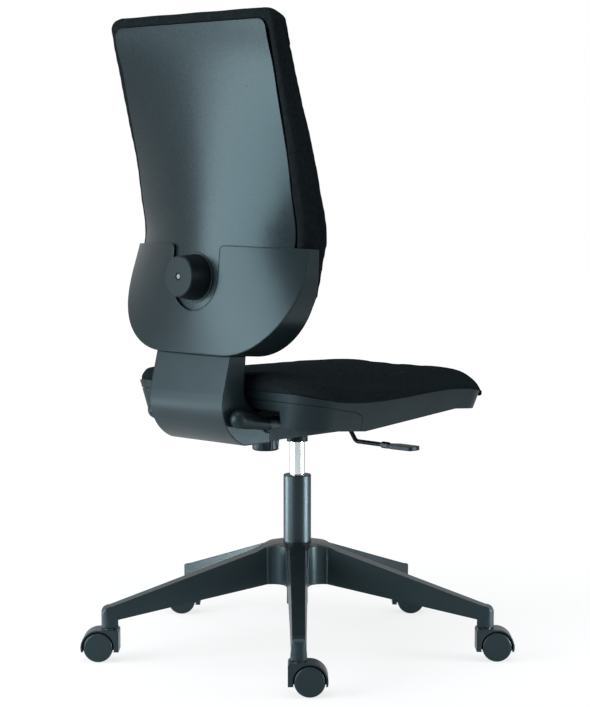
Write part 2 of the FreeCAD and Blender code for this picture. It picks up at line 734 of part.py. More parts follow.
def tension_knob():
    """Ribbed cup-shaped knob under the housing."""
    edges = [
        line(V(0, 0, KNOB_LOW), V(TENSION_KNOB_RADIUS - 5.0, 0, KNOB_LOW)),
        arc(V(TENSION_KNOB_RADIUS - 5.0, 0, KNOB_LOW), V(TENSION_KNOB_RADIUS - 1.9, 0, KNOB_LOW + 1.3),
            V(TENSION_KNOB_RADIUS - 0.8, 0, KNOB_LOW + 4.5)),
        line(V(TENSION_KNOB_RADIUS - 0.8, 0, KNOB_LOW + 4.5), V(TENSION_KNOB_RADIUS, 0, KNOB_TOP)),
        line(V(TENSION_KNOB_RADIUS, 0, KNOB_TOP), V(0, 0, KNOB_TOP)),
        line(V(0, 0, KNOB_TOP), V(0, 0, KNOB_LOW)),
    ]
    knob = face_of(edges).revolve(V(0, 0, 0), V(0, 0, 1), 360.0)
    for k in range(TENSION_KNOB_RIBS):
        angle = 2 * math.pi * k / TENSION_KNOB_RIBS
        reach = TENSION_KNOB_RADIUS + 0.8
        knob = knob.cut(cylinder(1.8, KNOB_LOW - 1.0, KNOB_TOP - 4.0,
                                 reach * math.cos(angle), reach * math.sin(angle)))
    knob = knob.cut(cylinder(TENSION_SCREW_RADIUS, KNOB_LOW + 6.0, KNOB_TOP + 1.0))
    knob.translate(V(0, TENSION_Y, 0))
    return knob


def tension_screw():
    return cylinder(TENSION_SCREW_RADIUS, KNOB_LOW + 6.0, SCREW_TOP, 0.0, TENSION_Y)


def tension_nut():
    """Bar across the housing that the screw pulls down on the spring."""
    half_width = HOUSING_HALF - PLATE - SEAT_GAP
    bar = box(-half_width, half_width, TENSION_Y - TENSION_NUT_HALF, TENSION_Y + TENSION_NUT_HALF,
              NUT_BOTTOM, NUT_TOP)
    return bar.cut(cylinder(TENSION_SCREW_RADIUS + RUNNING, NUT_BOTTOM - 1.0, NUT_TOP + 1.0, 0.0, TENSION_Y))


def tension_spring():
    """Coil between the upright's tongue and the nut, as one unbroken wire."""
    half_wire = SPRING_WIRE / 2
    low = TONGUE_Z + BAR_THICKNESS / 2 + SEAT_GAP + half_wire
    high = NUT_BOTTOM - SEAT_GAP - half_wire
    steps = 4
    count = SPRING_TURNS * steps

    def at(t):
        angle = 2 * math.pi * t / steps
        return V(SPRING_RADIUS * math.cos(angle), TENSION_Y + SPRING_RADIUS * math.sin(angle),
                 low + (high - low) * t / count)

    arcs = [arc(at(t), at(t + 0.5), at(t + 1)) for t in range(count)]
    path = Part.Wire(arcs)
    rise = (high - low) / count * steps / (2 * math.pi)
    start = Part.Wire([Part.makeCircle(half_wire, at(0), V(0, SPRING_RADIUS, rise))])
    pitch = (high - low) / SPRING_TURNS
    print("least gap between spring turns", round(pitch - SPRING_WIRE, 2))
    return path.makePipeShell([start], True, False)


# Height lever

def rounded_path(points, radius):
    """Straight runs joined by tangent arcs."""
    edges = []
    start = points[0]
    for before, corner, after in zip(points, points[1:], points[2:]):
        into = (before - corner).normalize()
        out = (after - corner).normalize()
        half = into.getAngle(out) / 2
        cut_back = radius / math.tan(half)
        bisector = (into + out).normalize()
        centre = corner + bisector * (radius / math.sin(half))
        tangent_in = corner + into * cut_back
        tangent_out = corner + out * cut_back
        edges.append(line(start, tangent_in))
        edges.append(arc(tangent_in, centre - bisector * radius, tangent_out))
        start = tangent_out
    edges.append(line(start, points[-1]))
    return Part.Wire(edges)


def lever_rod():
    """Bent rod, and the blade inside the housing that reaches over the release pin."""
    wall = -HOUSING_HALF
    points = [
        V(GRIP_START - 14.0, LEVER_Y, LEVER_LOW_Z - 0.6),
        V(wall - 28.0, LEVER_Y, LEVER_LOW_Z),
        V(wall - 5.0, LEVER_Y, LEVER_PIVOT_Z),
        V(wall + 16.0, LEVER_Y, LEVER_PIVOT_Z),
    ]
    path = rounded_path(points, 11.0)
    direction = points[1] - points[0]
    section = Part.Wire([Part.makeCircle(LEVER_ROD, points[0], direction)])
    rod = path.makePipeShell([section], True, False)
    blade_low = CYLINDER_TOP + PIN_STAND + SEAT_GAP
    blade_high = blade_low + PLATE
    post = box(wall + 10.0, wall + 16.0, LEVER_Y - 6.0, LEVER_Y + 6.0, LEVER_PIVOT_Z - 4.0, blade_high)
    plan = [
        V(wall + 10.0, LEVER_Y - 6.0, blade_low),
        V(wall + 16.0, LEVER_Y - 6.0, blade_low),
        V(6.0, -6.0, blade_low),
        V(6.0, 6.0, blade_low),
        V(-6.0, 6.0, blade_low),
        V(wall + 10.0, LEVER_Y + 6.0, blade_low),
    ]
    finger = Part.Face(polygon(plan)).extrude(V(0, 0, PLATE))
    return fuse([rod, post, finger])


def lever_grip():
    """Flat paddle on the rod's end."""
    low = LEVER_LOW_Z - GRIP_THICKNESS / 2 - 0.6
    neck = LEVER_ROD + 2.0
    edges = [
        line(V(GRIP_START, -neck, low), V(GRIP_START, neck, low)),
        line(V(GRIP_START, neck, low), V(GRIP_START - 14.0, neck, low)),
        line(V(GRIP_START - 14.0, neck, low), V(GRIP_START - 30.0, GRIP_HALF, low)),
        line(V(GRIP_START - 30.0, GRIP_HALF, low), V(LEVER_END + 4.0, GRIP_HALF - 1.0, low)),
        arc(V(LEVER_END + 4.0, GRIP_HALF - 1.0, low), V(LEVER_END, 0.0, low), V(LEVER_END + 4.0, 1.0 - GRIP_HALF, low)),
        line(V(LEVER_END + 4.0, 1.0 - GRIP_HALF, low), V(GRIP_START - 30.0, -GRIP_HALF, low)),
        line(V(GRIP_START - 30.0, -GRIP_HALF, low), V(GRIP_START - 14.0, -neck, low)),
        line(V(GRIP_START - 14.0, -neck, low), V(GRIP_START, -neck, low)),
    ]
    paddle = face_of(edges).extrude(V(0, 0, GRIP_THICKNESS))
    sleeve = cylinder_x(neck, GRIP_START - 14.0, GRIP_START, 0.0, LEVER_LOW_Z - 0.6)
    paddle = paddle.fuse(sleeve).removeSplitter()
    paddle.translate(V(0, LEVER_Y, 0))
    return paddle.cut(lever_rod())


# Seat

def seat_outline(z, half, front, rear, front_corner, rear_corner):
    """Rounded rectangle of four lines and four arcs."""
    f = front_corner
    r = rear_corner
    c = 1.0 - math.sqrt(0.5)
    edges = [
        line(V(-half + f, front, z), V(half - f, front, z)),
        arc(V(half - f, front, z), V(half - f * c, front + f * c, z), V(half, front + f, z)),
        line(V(half, front + f, z), V(half, rear - r, z)),
        arc(V(half, rear - r, z), V(half - r * c, rear - r * c, z), V(half - r, rear, z)),
        line(V(half - r, rear, z), V(-half + r, rear, z)),
        arc(V(-half + r, rear, z), V(-half + r * c, rear - r * c, z), V(-half, rear - r, z)),
        line(V(-half, rear - r, z), V(-half, front + f, z)),
        arc(V(-half, front + f, z), V(-half + f * c, front + f * c, z), V(-half + f, front, z)),
    ]
    return Part.Wire(edges)


def seat_hull(inset):
    """Tapered tub of the seat's outside, drawn in by an inset."""
    top = seat_outline(SEAT_RIM_Z, SEAT_HALF - inset, SEAT_FRONT + inset, SEAT_REAR - inset,
                       SEAT_FRONT_CORNER - inset, SEAT_REAR_CORNER - inset)
    bottom = seat_outline(SHELL_BOTTOM_Z, SEAT_HALF - SHELL_DRAFT_SIDE - inset,
                          SEAT_FRONT + SHELL_DRAFT_FRONT + inset, SEAT_REAR - SHELL_DRAFT_REAR - inset,
                          SEAT_FRONT_CORNER - inset, SEAT_REAR_CORNER - inset)
    return Part.makeLoft([bottom, top], True, True)


KEEL = [(-300.0, 429.0), (-255.0, 429.0), (-180.0, 435.0), (55.0, 415.0), (205.0, 429.0), (300.0, 438.0)]
SEAM = [(-287.0, 440.0), (-257.0, 458.0), (-205.0, 469.5), (-140.0, 473.0), (43.0, 466.0), (171.0, 479.5),
        (215.0, 491.0)]
SPLIT = [(68.0, 438.0), (76.0, 445.5), (108.0, 455.0), (165.0, 466.5), (230.0, 478.0)]


def above_keel(raise_by):
    outline = [(y, z + raise_by) for y, z in KEEL]
    return prism_x(outline + [(KEEL[-1][0], BIG), (KEEL[0][0], BIG)], -BIG, BIG)


def shell_wall():
    """Whole outer tub of the seat up to its seam with the cushion."""
    outer = seat_hull(0.0).common(above_keel(0.0))
    inner = seat_hull(SHELL_WALL).common(above_keel(SHELL_WALL))
    lid = box(-BIG, BIG, -BIG, BIG, SEAT_RIM_Z - 0.5, BIG)
    return outer.cut(inner).cut(lid).common(below_curve(SEAM, 0.0))


def cover_region(shift):
    """Rear lower part of the tub, which is a cover of its own."""
    points = [V(-BIG, y + shift, z - shift) for y, z in SPLIT]
    low_first = V(-BIG, SPLIT[0][0] + shift - 2.0, 0.0)
    low_last = V(-BIG, SPLIT[-1][0] + shift, 0.0)
    edges = [line(low_first, points[0]), spline(points), line(points[-1], low_last), line(low_last, low_first)]
    return face_of(edges).extrude(V(2 * BIG, 0, 0))


def mechanism_window():
    """Opening in the tub's floor round the mechanism."""
    return box(-SHELL_OPENING_HALF, SHELL_OPENING_HALF, HOUSING_FRONT - 22.0, BIG, 0.0, BOARD_BOTTOM - 4.0)


SHELL_SCREWS = [(170.0, -175.0), (190.0, 20.0)]
COVER_SCREWS = [(172.0, 100.0)]


def both_sides(places):
    return [(sign * x, y) for x, y in places for sign in (-1, 1)]


def bosses(places, radius):
    """Posts from the tub's floor up to the board."""
    return [cylinder(radius, 0.0, BOARD_BOTTOM, x, y).common(above_keel(0.0)) for x, y in places]


def drill(shape, places, radius):
    for x, y in places:
        shape = shape.cut(cylinder(radius, 0.0, BOARD_BOTTOM, x, y))
    return shape


def seat_shell():
    wall = shell_wall().cut(cover_region(0.0)).cut(mechanism_window())
    screw_places = both_sides(SHELL_SCREWS)
    posts = bosses(screw_places, SCREW_HEAD + 2.0)
    posts += [cylinder(BOSS_RADIUS, ARM_MOUNT_Z, BOARD_BOTTOM, x, y) for x, y in arm_mount_places()]
    shell = fuse([wall] + posts)
    shell = drill(shell, screw_places, SCREW_RADIUS)
    return drill(shell, arm_mount_places(), ARM_MOUNT_HOLE)


def rear_cover():
    wall = shell_wall().common(cover_region(COVER_GAP)).cut(mechanism_window())
    doorway = box(-COVER_OPENING_HALF, COVER_OPENING_HALF, TILT_Y - 20.0, BIG, 0.0, COVER_OPENING_TOP)
    screw_places = both_sides(COVER_SCREWS)
    cover = fuse([wall.cut(doorway)] + bosses(screw_places, SCREW_HEAD + 2.0))
    return drill(cover, screw_places, SCREW_RADIUS)


def keel_height(y):
    for (y0, z0), (y1, z1) in zip(KEEL, KEEL[1:]):
        if y0 <= y <= y1:
            return z0 + (z1 - z0) * (y - y0) / (y1 - y0)
    return KEEL[0][1]


def shell_screws():
    """Screws up through the bosses into the board."""
    screws = []
    for x, y in both_sides(SHELL_SCREWS + COVER_SCREWS):
        under = keel_height(y)
        head_z = under - SCREW_HEAD_HEIGHT - 0.8
        head = cylinder(SCREW_HEAD, head_z, head_z + SCREW_HEAD_HEIGHT, x, y)
        shank = cylinder(SCREW_RADIUS, head_z + SCREW_HEAD_HEIGHT, BOARD_BOTTOM + SCREW_BITE, x, y)
        screws.append(head.fuse(shank).removeSplitter())
    return screws


def seat_fasteners():
    """All bolts, tee nuts and screws of the seat board."""
    return group(mechanism_bolts() + tee_nuts() + shell_screws())


def board_solid(grow):
    """Seat board inside the tub, grown by a clearance."""
    inset = SHELL_WALL + BOARD_MARGIN + SHELL_DRAFT_SIDE / 2 - grow
    outline = seat_outline(BOARD_BOTTOM - grow, SEAT_HALF - inset, SEAT_FRONT + inset + 8.0, SEAT_REAR - inset,
                           SEAT_FRONT_CORNER - 10.0, SEAT_REAR_CORNER - 10.0)
    return Part.Face(outline).extrude(V(0, 0, BOARD_THICKNESS + 2 * grow))


def seat_board():
    board = board_solid(0.0)
    for x, y in bolt_places() + arm_mount_places():
        board = board.cut(cylinder(TEE_RADIUS, BOARD_BOTTOM - 1.0, BOARD_TOP + 1.0, x, y))
        board = board.cut(cylinder(TEE_FLANGE, BOARD_TOP - TEE_THICKNESS, BOARD_TOP + 1.0, x, y))
    for x, y in both_sides(SHELL_SCREWS + COVER_SCREWS):
        board = board.cut(cylinder(SCREW_RADIUS, BOARD_BOTTOM - 1.0, BOARD_BOTTOM + SCREW_BITE, x, y))
    return board


# Cushion stations from front to rear: y, half width, underside, crest x, crest z, dish z
CUSHION_STATIONS = [
    (-292.0, 126.0, 452.0, 66.0, 470.0, 468.0),
    (-287.0, 168.0, 447.0, 94.0, 488.0, 484.0),
    (-277.0, 197.0, 446.0, 104.0, 499.0, 492.5),
    (-255.0, 219.0, 447.0, 106.0, 500.0, 492.0),
    (-215.0, 233.0, 452.0, 112.0, 497.0, 489.0),
    (-140.0, 240.0, 460.0, 135.0, 495.0, 486.0),
    (-20.0, 241.0, 460.0, 165.0, 496.0, 485.0),
    (90.0, 239.0, 460.0, 165.0, 503.0, 492.0),
    (160.0, 232.0, 460.0, 140.0, 514.0, 504.0),
    (190.0, 205.0, 466.0, 100.0, 516.0, 511.0),
    (203.0, 172.0, 480.0, 76.0, 505.0, 503.0),
]


def cushion_section(y, half, low, crest_x, crest, dish):
    """One cross-section: flat underside, bulging sides, a crest at each side and a dish between."""
    foot = half - 12.0
    shoulder = half - 14.0
    shoulder_z = crest - 9.0
    waist_z = low + 0.5 * (shoulder_z - low)
    inner_x = crest_x * 0.45
    inner_z = (crest + dish) / 2

    def at(x, z):
        return V(x, y, z)

    edges = [
        line(at(-foot, low), at(foot, low)),
        arc(at(foot, low), at(half, waist_z), at(shoulder, shoulder_z)),
        arc(at(shoulder, shoulder_z), at(crest_x, crest), at(inner_x, inner_z)),
        arc(at(inner_x, inner_z), at(0, dish), at(-inner_x, inner_z)),
        arc(at(-inner_x, inner_z), at(-crest_x, crest), at(-shoulder, shoulder_z)),
        arc(at(-shoulder, shoulder_z), at(-half, waist_z), at(-foot, low)),
    ]
    return Part.Wire(edges)


def seat_cushion():
    """Waterfall cushion with raised thighs and rear, sitting on the board and over the shell's rim."""
    body = Part.makeLoft([cushion_section(*station) for station in CUSHION_STATIONS], True, False)
    rim_line = [(y, z + SEAT_GAP) for y, z in SEAM]
    outside = below_curve(rim_line, 0.0).cut(seat_hull(SHELL_WALL + SEAT_GAP))
    body = body.cut(outside).cut(board_solid(SEAT_GAP))
    under_board = box(-BIG, BIG, -BIG, BIG, 0.0, BOARD_TOP + SEAT_GAP)
    front_reach = SEAT_FRONT + SHELL_WALL + BOARD_MARGIN + SHELL_DRAFT_SIDE / 2 + 8.0
    nose = box(-BIG, BIG, -BIG, front_reach - SEAT_GAP, 0.0, BIG)
    body = body.cut(under_board.cut(nose))
    return max(body.Solids, key=lambda solid: solid.Volume)


# Back. Points are given by x, s along the slide and n out to the rear, from the carrier's face at the knob.

LEAN_SIN = math.sin(math.radians(BACK_LEAN))
LEAN_COS = math.cos(math.radians(BACK_LEAN))
SLIDE = V(0, -LEAN_SIN, LEAN_COS)
OUTWARD = V(0, LEAN_COS, LEAN_SIN)
CARRIER_LOW = CARRIER_ARC_S - CARRIER_ARC_RADIUS


def back_point(x, s, n):
    return V(x, BACK_Y, BACK_Z) + SLIDE * s + OUTWARD * n


def face_sag(s, x):
    """How far the carrier's face falls forward at x: it is rounder at the top than at the bottom."""
    share = (s - CARRIER_LOW) / (CARRIER_TOP - CARRIER_LOW)
    drop = CARRIER_DROP_LOW + (CARRIER_DROP_TOP - CARRIER_DROP_LOW) * share
    radius = (CARRIER_DROP_X ** 2 + drop ** 2) / (2 * drop)
    return radius - math.sqrt(radius ** 2 - x ** 2)


def bowed_slab(n0, n1):
    """Plate between two depths that follows the carrier's face, wider than the carrier."""
    half = CARRIER_DROP_X + 20.0
    wires = []
    for s in (CARRIER_LOW - 10.0, CARRIER_TOP + 60.0):
        sag = face_sag(s, half)
        corners = [back_point(-half, s, n0 - sag), back_point(half, s, n0 - sag),
                   back_point(half, s, n1 - sag), back_point(-half, s, n1 - sag)]
        edges = [
            arc(corners[0], back_point(0, s, n0), corners[1]),
            line(corners[1], corners[2]),
            arc(corners[2], back_point(0, s, n1), corners[3]),
            line(corners[3], corners[0]),
        ]
        wires.append(Part.Wire(edges))
    return Part.makeLoft(wires, True, True)


def extrude_back(edges, n0, n1):
    return face_of(edges).extrude(OUTWARD * (n1 - n0))


def carrier_half(inset):
    return CARRIER_ARC_X + CARRIER_ARC_RADIUS - inset


def u_prism(inset, top, n0=-150.0, n1=100.0):
    """The carrier's U-shaped outline, drawn in by an inset, as a prism through the back."""
    radius = CARRIER_ARC_RADIUS - inset
    low = CARRIER_ARC_S - radius
    turn = radius * math.sqrt(0.5)
    side_top = CARRIER_HALF_TOP - inset

    def at(x, s):
        return back_point(x, s, n0)

    right_turn = at(CARRIER_ARC_X + turn, CARRIER_ARC_S - turn)
    left_turn = at(-CARRIER_ARC_X - turn, CARRIER_ARC_S - turn)
    half = carrier_half(inset)
    edges = [
        line(at(-CARRIER_ARC_X, low), at(CARRIER_ARC_X, low)),
        arc(at(CARRIER_ARC_X, low), right_turn, at(half, CARRIER_ARC_S)),
        line(at(half, CARRIER_ARC_S), at(side_top, top)),
        line(at(side_top, top), at(-side_top, top)),
        line(at(-side_top, top), at(-half, CARRIER_ARC_S)),
        arc(at(-half, CARRIER_ARC_S), left_turn, at(-CARRIER_ARC_X, low)),
    ]
    return extrude_back(edges, n0, n1)


def notch():
    """U-shaped opening for the knob, with rounded lips."""
    top = CARRIER_TOP
    lip = NOTCH_HALF + NOTCH_ROUND
    turn = NOTCH_ROUND * (1.0 - math.sqrt(0.5))
    n0 = -30.0

    def at(x, s):
        return back_point(x, s, n0)

    edges = [
        line(at(lip, top + 20.0), at(lip, top)),
        arc(at(lip, top), at(NOTCH_HALF + turn, top - turn), at(NOTCH_HALF, top - NOTCH_ROUND)),
        line(at(NOTCH_HALF, top - NOTCH_ROUND), at(NOTCH_HALF, 0)),
        arc(at(NOTCH_HALF, 0), at(0, -NOTCH_HALF), at(-NOTCH_HALF, 0)),
        line(at(-NOTCH_HALF, 0), at(-NOTCH_HALF, top - NOTCH_ROUND)),
        arc(at(-NOTCH_HALF, top - NOTCH_ROUND), at(-NOTCH_HALF - turn, top - turn), at(-lip, top)),
        line(at(-lip, top), at(-lip, top + 20.0)),
        line(at(-lip, top + 20.0), at(lip, top + 20.0)),
    ]
    return extrude_back(edges, n0, 60.0)


def block_back(half_x, s0, s1, n0, n1):
    """Box along the slide."""
    corners = [back_point(-half_x, s0, n0), back_point(half_x, s0, n0), back_point(half_x, s1, n0),
               back_point(-half_x, s1, n0)]
    return Part.Face(polygon(corners)).extrude(OUTWARD * (n1 - n0))


PANEL_N = -CARRIER_PLATE - PANEL_GAP
BAR_N = PANEL_N - BAR_SETBACK
CARRIER_BLOCK_TOP = CARRIER_LOW + CARRIER_WALL + 13.0
CARRIER_SCREW_X = 18.0
CARRIER_SCREW_S = CARRIER_LOW + CARRIER_WALL + 6.5


def back_carrier():
    """Convex U-shaped shell whose rim wraps the lower end of the back."""
    outside = u_prism(0.0, CARRIER_TOP, CARRIER_RIM_N).common(bowed_slab(2 * CARRIER_RIM_N, 0.0))
    inside = u_prism(CARRIER_WALL, CARRIER_TOP + 40.0).common(bowed_slab(2 * CARRIER_RIM_N, -CARRIER_PLATE))
    shell = outside.cut(inside).cut(notch())
    block = block_back(BAR_HALF + 8.0, CARRIER_LOW + 1.0, CARRIER_BLOCK_TOP, BAR_N, -CARRIER_PLATE / 2)
    shell = shell.fuse(block).removeSplitter()
    slot = block_back(BAR_HALF + SEAT_GAP, CARRIER_LOW - 10.0, CARRIER_LOW + CARRIER_WALL + 1.0,
                      BAR_N - BAR_THICKNESS - SEAT_GAP, BAR_N)
    shell = shell.cut(slot)
    for x in (-CARRIER_SCREW_X, CARRIER_SCREW_X):
        hole = Part.makeCylinder(SCREW_RADIUS, 10.0, back_point(x, CARRIER_SCREW_S, BAR_N), OUTWARD)
        shell = shell.cut(hole)
    return shell


def carrier_screws():
    """Screws through the upright into the carrier's block."""
    screws = []
    for x in (-CARRIER_SCREW_X, CARRIER_SCREW_X):
        start = BAR_N - BAR_THICKNESS
        shank = Part.makeCylinder(SCREW_RADIUS, BAR_THICKNESS + 9.0, back_point(x, CARRIER_SCREW_S, start), OUTWARD)
        head = Part.makeCylinder(SCREW_HEAD, SCREW_HEAD_HEIGHT,
                                 back_point(x, CARRIER_SCREW_S, start - SCREW_HEAD_HEIGHT), OUTWARD)
        screws.append(shank.fuse(head).removeSplitter())
    return group(screws)


# Shape of the back above the carrier: height, and the rear face's place at the panel's edge and at the middle
BACK_STATIONS = [
    (800.0, 202.5, 242.0),
    (860.0, 211.5, 244.0),
    (920.0, 224.0, 248.5),
    (980.0, 238.0, 254.0),
    (1040.0, 252.0, 260.0),
    (1103.0, 265.5, 266.5),
]
JOIN_S = CARRIER_TOP + 3.0
FRAME_OVERHANG = 0.05    # the cutting frame stands this far beside a layer's sides


def station_sag(edge, centre, x):
    """How far the rear face falls forward at x from its centre line."""
    drop = max(centre - edge, 0.3)
    radius = (PANEL_HALF ** 2 + drop ** 2) / (2 * drop)
    return radius - math.sqrt(radius ** 2 - x ** 2)


def layer_wire(half, rear, front, place, bulge=0.0, crown=0.0):
    """Section of a layer of the back: rear arc, side, front arc, side. place(x, depth) gives the points."""
    middle = (rear + front) / 2
    rear_right = place(half, rear)
    front_right = place(half, front - crown)
    front_left = place(-half, front - crown)
    rear_left = place(-half, rear)
    if bulge:
        right_side = arc(rear_right, place(half + bulge, middle), front_right)
        left_side = arc(front_left, place(-half - bulge, middle), rear_left)
    else:
        right_side = line(rear_right, front_right)
        left_side = line(front_left, rear_left)
    edges = [
        arc(rear_left, place(0.0, rear), rear_right),
        right_side,
        arc(front_right, place(0.0, front + crown / 4), front_left),
        left_side,
    ]
    return Part.Wire(edges)


# Sections of the straight lower part, which goes into the carrier
LOW_STATIONS = (CARRIER_LOW - 20.0, JOIN_S - HEIGHT_TRAVEL, JOIN_S)


def slide_sag(s, x):
    """How far the back's rear face falls forward at x: as far as the carrier's face does where the slide takes it."""
    return face_sag(max(s, min(s + HEIGHT_TRAVEL, JOIN_S)), x)


def lower_place(s):
    """Points of the straight lower part, at s along the slide."""
    def place(x, depth):
        return back_point(x, s, PANEL_N - slide_sag(s, x) - depth)
    return place


def pad_place(s):
    """Points of the pad's lower part: its rear edge keeps clear of the carrier, its front follows the carrier's face."""
    def place(x, depth):
        sag = slide_sag(s, x) if depth <= CUSHION_REAR else face_sag(s, x)
        return back_point(x, s, PANEL_N - sag - depth)
    return place


def upper_place(z, edge, centre):
    """Points of the curved upper part, at a height."""
    def place(x, depth):
        return V(x, centre - station_sag(edge, centre, x) - depth, z)
    return place


def back_layer(half, rear, front, inset, top, corner):
    """Plate of the back between two depths, with the U-shaped lower end and rounded top corners."""
    low_wires = [layer_wire(half, rear, front, lower_place(s)) for s in LOW_STATIONS]
    low = Part.makeLoft(low_wires, True, True).common(u_prism(inset, JOIN_S))
    high_wires = [layer_wire(half, rear, front, lower_place(s)) for s in (JOIN_S, JOIN_S + 6.0)]
    high_wires += [layer_wire(half, rear, front, upper_place(*station)) for station in BACK_STATIONS]
    high = Part.makeLoft(high_wires, True, False).common(top_frame(half + FRAME_OVERHANG, top, corner))
    return low.fuse(high).removeSplitter()


def top_frame(half, top, corner):
    """Front view of the upper back: straight sides and rounded top corners."""
    c = corner * (1.0 - math.sqrt(0.5))
    y0 = -BIG

    def at(x, z):
        return V(x, y0, z)

    low = 600.0
    edges = [
        line(at(-half, low), at(half, low)),
        line(at(half, low), at(half, top - corner)),
        arc(at(half, top - corner), at(half - c, top - c), at(half - corner, top)),
        line(at(half - corner, top), at(-half + corner, top)),
        arc(at(-half + corner, top), at(-half + c, top - c), at(-half, top - corner)),
        line(at(-half, top - corner), at(-half, low)),
    ]
    return face_of(edges).extrude(V(0, 2 * BIG, 0))


PANEL_INSET = CARRIER_HALF_TOP - PANEL_HALF
BOARD_FRONT = BOARD_SETBACK + BACK_BOARD
BACK_SCREW_X = 120.0
BACK_SCREW_S = 20.0
BACK_SCREW_Z = 1000.0


def back_screw_axes():
    """Start on the panel's rear face, and direction inwards, of each fixing between panel and board."""
    axes = []
    station = (BACK_SCREW_Z, 242.5, 256.0)
    for x in (-BACK_SCREW_X, BACK_SCREW_X):
        axes.append((lower_place(BACK_SCREW_S)(x, 0.0), -OUTWARD))
        axes.append((upper_place(*station)(x, 0.0), V(0, -1, 0)))
    return axes


def back_shell():
    """Rear panel with its knob pad and the bosses that hold it to the board."""
    panel = back_layer(PANEL_HALF, 0.0, PANEL_THICKNESS, PANEL_INSET, PANEL_TOP, PANEL_CORNER)
    pad = Part.makeCylinder(PAD_RADIUS, PAD_HEIGHT + 4.0, back_point(0, 0, PANEL_N - 4.0), OUTWARD)
    pieces = [panel, pad]
    for start, inward in back_screw_axes():
        length = BOARD_SETBACK - 1.0 - SEAT_GAP
        boss = Part.makeCylinder(6.0, length, start + inward * 1.0, inward)
        pieces.append(boss.cut(Part.makeCylinder(SCREW_RADIUS, 14.0, start + inward * (length - 12.0), inward)))
    shell = fuse(pieces)
    hole = Part.makeCylinder(STUD_RADIUS + RUNNING, 40.0, back_point(0, 0, PANEL_N - 20.0), OUTWARD)
    board_room = back_layer(PANEL_HALF, BOARD_SETBACK - SEAT_GAP, BOARD_FRONT, PANEL_INSET, PANEL_TOP,
                            PANEL_CORNER - 1.0)
    return shell.cut(hole).cut(board_room)


def back_board():
    board = back_layer(PANEL_HALF - 0.5, BOARD_SETBACK, BOARD_FRONT, PANEL_INSET + 0.5, PANEL_TOP - 4.0,
                       PANEL_CORNER + 2.0)
    for start, inward in back_screw_axes():
        hole = Part.makeCylinder(SCREW_RADIUS, 30.0, start + inward * (BOARD_SETBACK - 4.0), inward)
        sink = Part.makeCylinder(SCREW_HEAD, 30.0, start + inward * (BOARD_FRONT - SCREW_HEAD_HEIGHT - 1.2), inward)
        board = board.cut(hole).cut(sink)
    stud_room = Part.makeCylinder(STUD_RADIUS + 2.0, 30.0, back_point(0, 0, PANEL_N - BOARD_FRONT - 5.0), OUTWARD)
    return board.cut(stud_room)


def back_screws():
    screws = []
    for start, inward in back_screw_axes():
        head_depth = BOARD_FRONT - SCREW_HEAD_HEIGHT - 1.2
        shank_depth = BOARD_SETBACK - SEAT_GAP - 10.0
        shank = Part.makeCylinder(SCREW_RADIUS, head_depth - shank_depth, start + inward * shank_depth, inward)
        head = Part.makeCylinder(SCREW_HEAD, SCREW_HEAD_HEIGHT, start + inward * head_depth, inward)
        screws.append(shank.fuse(head).removeSplitter())
    return group(screws)


CUSHION_REAR = 0.5
CUSHION_THICKNESS_FOOT = 79.0
CUSHION_THICKNESS_LOW = 62.0
CUSHION_THICKNESS_TOP = 46.0
CUSHION_BULGE = 3.0
CUSHION_CROWN = 5.0
CUSHION_CROWN_FOOT = 11.0
POCKET_DEPTH = BOARD_FRONT + SEAT_GAP


def back_cushion():
    """Pad over the board whose rim wraps round to the rear panel's edge."""
    half = BACK_HALF - CUSHION_BULGE
    inset = CARRIER_HALF_TOP - BACK_HALF

    def section(place, thickness, rear=CUSHION_REAR, crown=CUSHION_CROWN):
        return layer_wire(half, rear, thickness, place, CUSHION_BULGE, crown)

    low_wires = []
    for s in (CARRIER_LOW, JOIN_S - HEIGHT_TRAVEL, JOIN_S):
        share = (s - CARRIER_LOW) / (JOIN_S - CARRIER_LOW)
        thickness = CUSHION_THICKNESS_FOOT + (CUSHION_THICKNESS_LOW - CUSHION_THICKNESS_FOOT) * share
        crown = CUSHION_CROWN_FOOT + (CUSHION_CROWN - CUSHION_CROWN_FOOT) * share
        low_wires.append(section(pad_place(s), thickness, CUSHION_REAR, crown))
    low = Part.makeLoft(low_wires, True, True).common(u_prism(inset, JOIN_S))
    high_wires = [section(lower_place(s), CUSHION_THICKNESS_LOW) for s in (JOIN_S, JOIN_S + 6.0)]
    first_z = BACK_STATIONS[0][0]
    span = BACK_STATIONS[-1][0] - first_z
    for z, edge, centre in BACK_STATIONS:
        share = (z - first_z) / span
        thickness = CUSHION_THICKNESS_LOW + (CUSHION_THICKNESS_TOP - CUSHION_THICKNESS_LOW) * share
        high_wires.append(section(upper_place(z, edge, centre), thickness))
    top_z, top_edge, top_centre = BACK_STATIONS[-1]
    lean = 0.25
    for rise, pinch in ((12.0, 3.0), (BACK_TOP - top_z, 11.0)):
        place = upper_place(top_z + rise, top_edge + lean * rise, top_centre + lean * rise)
        high_wires.append(section(place, CUSHION_THICKNESS_TOP - pinch, CUSHION_REAR + pinch))
    high = Part.makeLoft(high_wires, True, False).common(top_frame(BACK_HALF, BACK_TOP, BACK_CORNER))
    pad = low.fuse(high).removeSplitter()
    pocket = back_layer(PANEL_HALF + SEAT_GAP, -20.0, POCKET_DEPTH, PANEL_INSET - SEAT_GAP,
                        PANEL_TOP + SEAT_GAP, PANEL_CORNER - 1.0)
    way_in = block_back(BAR_HALF + 12.0, CARRIER_LOW - 30.0, CARRIER_LOW + 60.0,
                        BAR_N - BAR_THICKNESS - 6.0, 40.0)
    return pad.cut(pocket).cut(way_in)


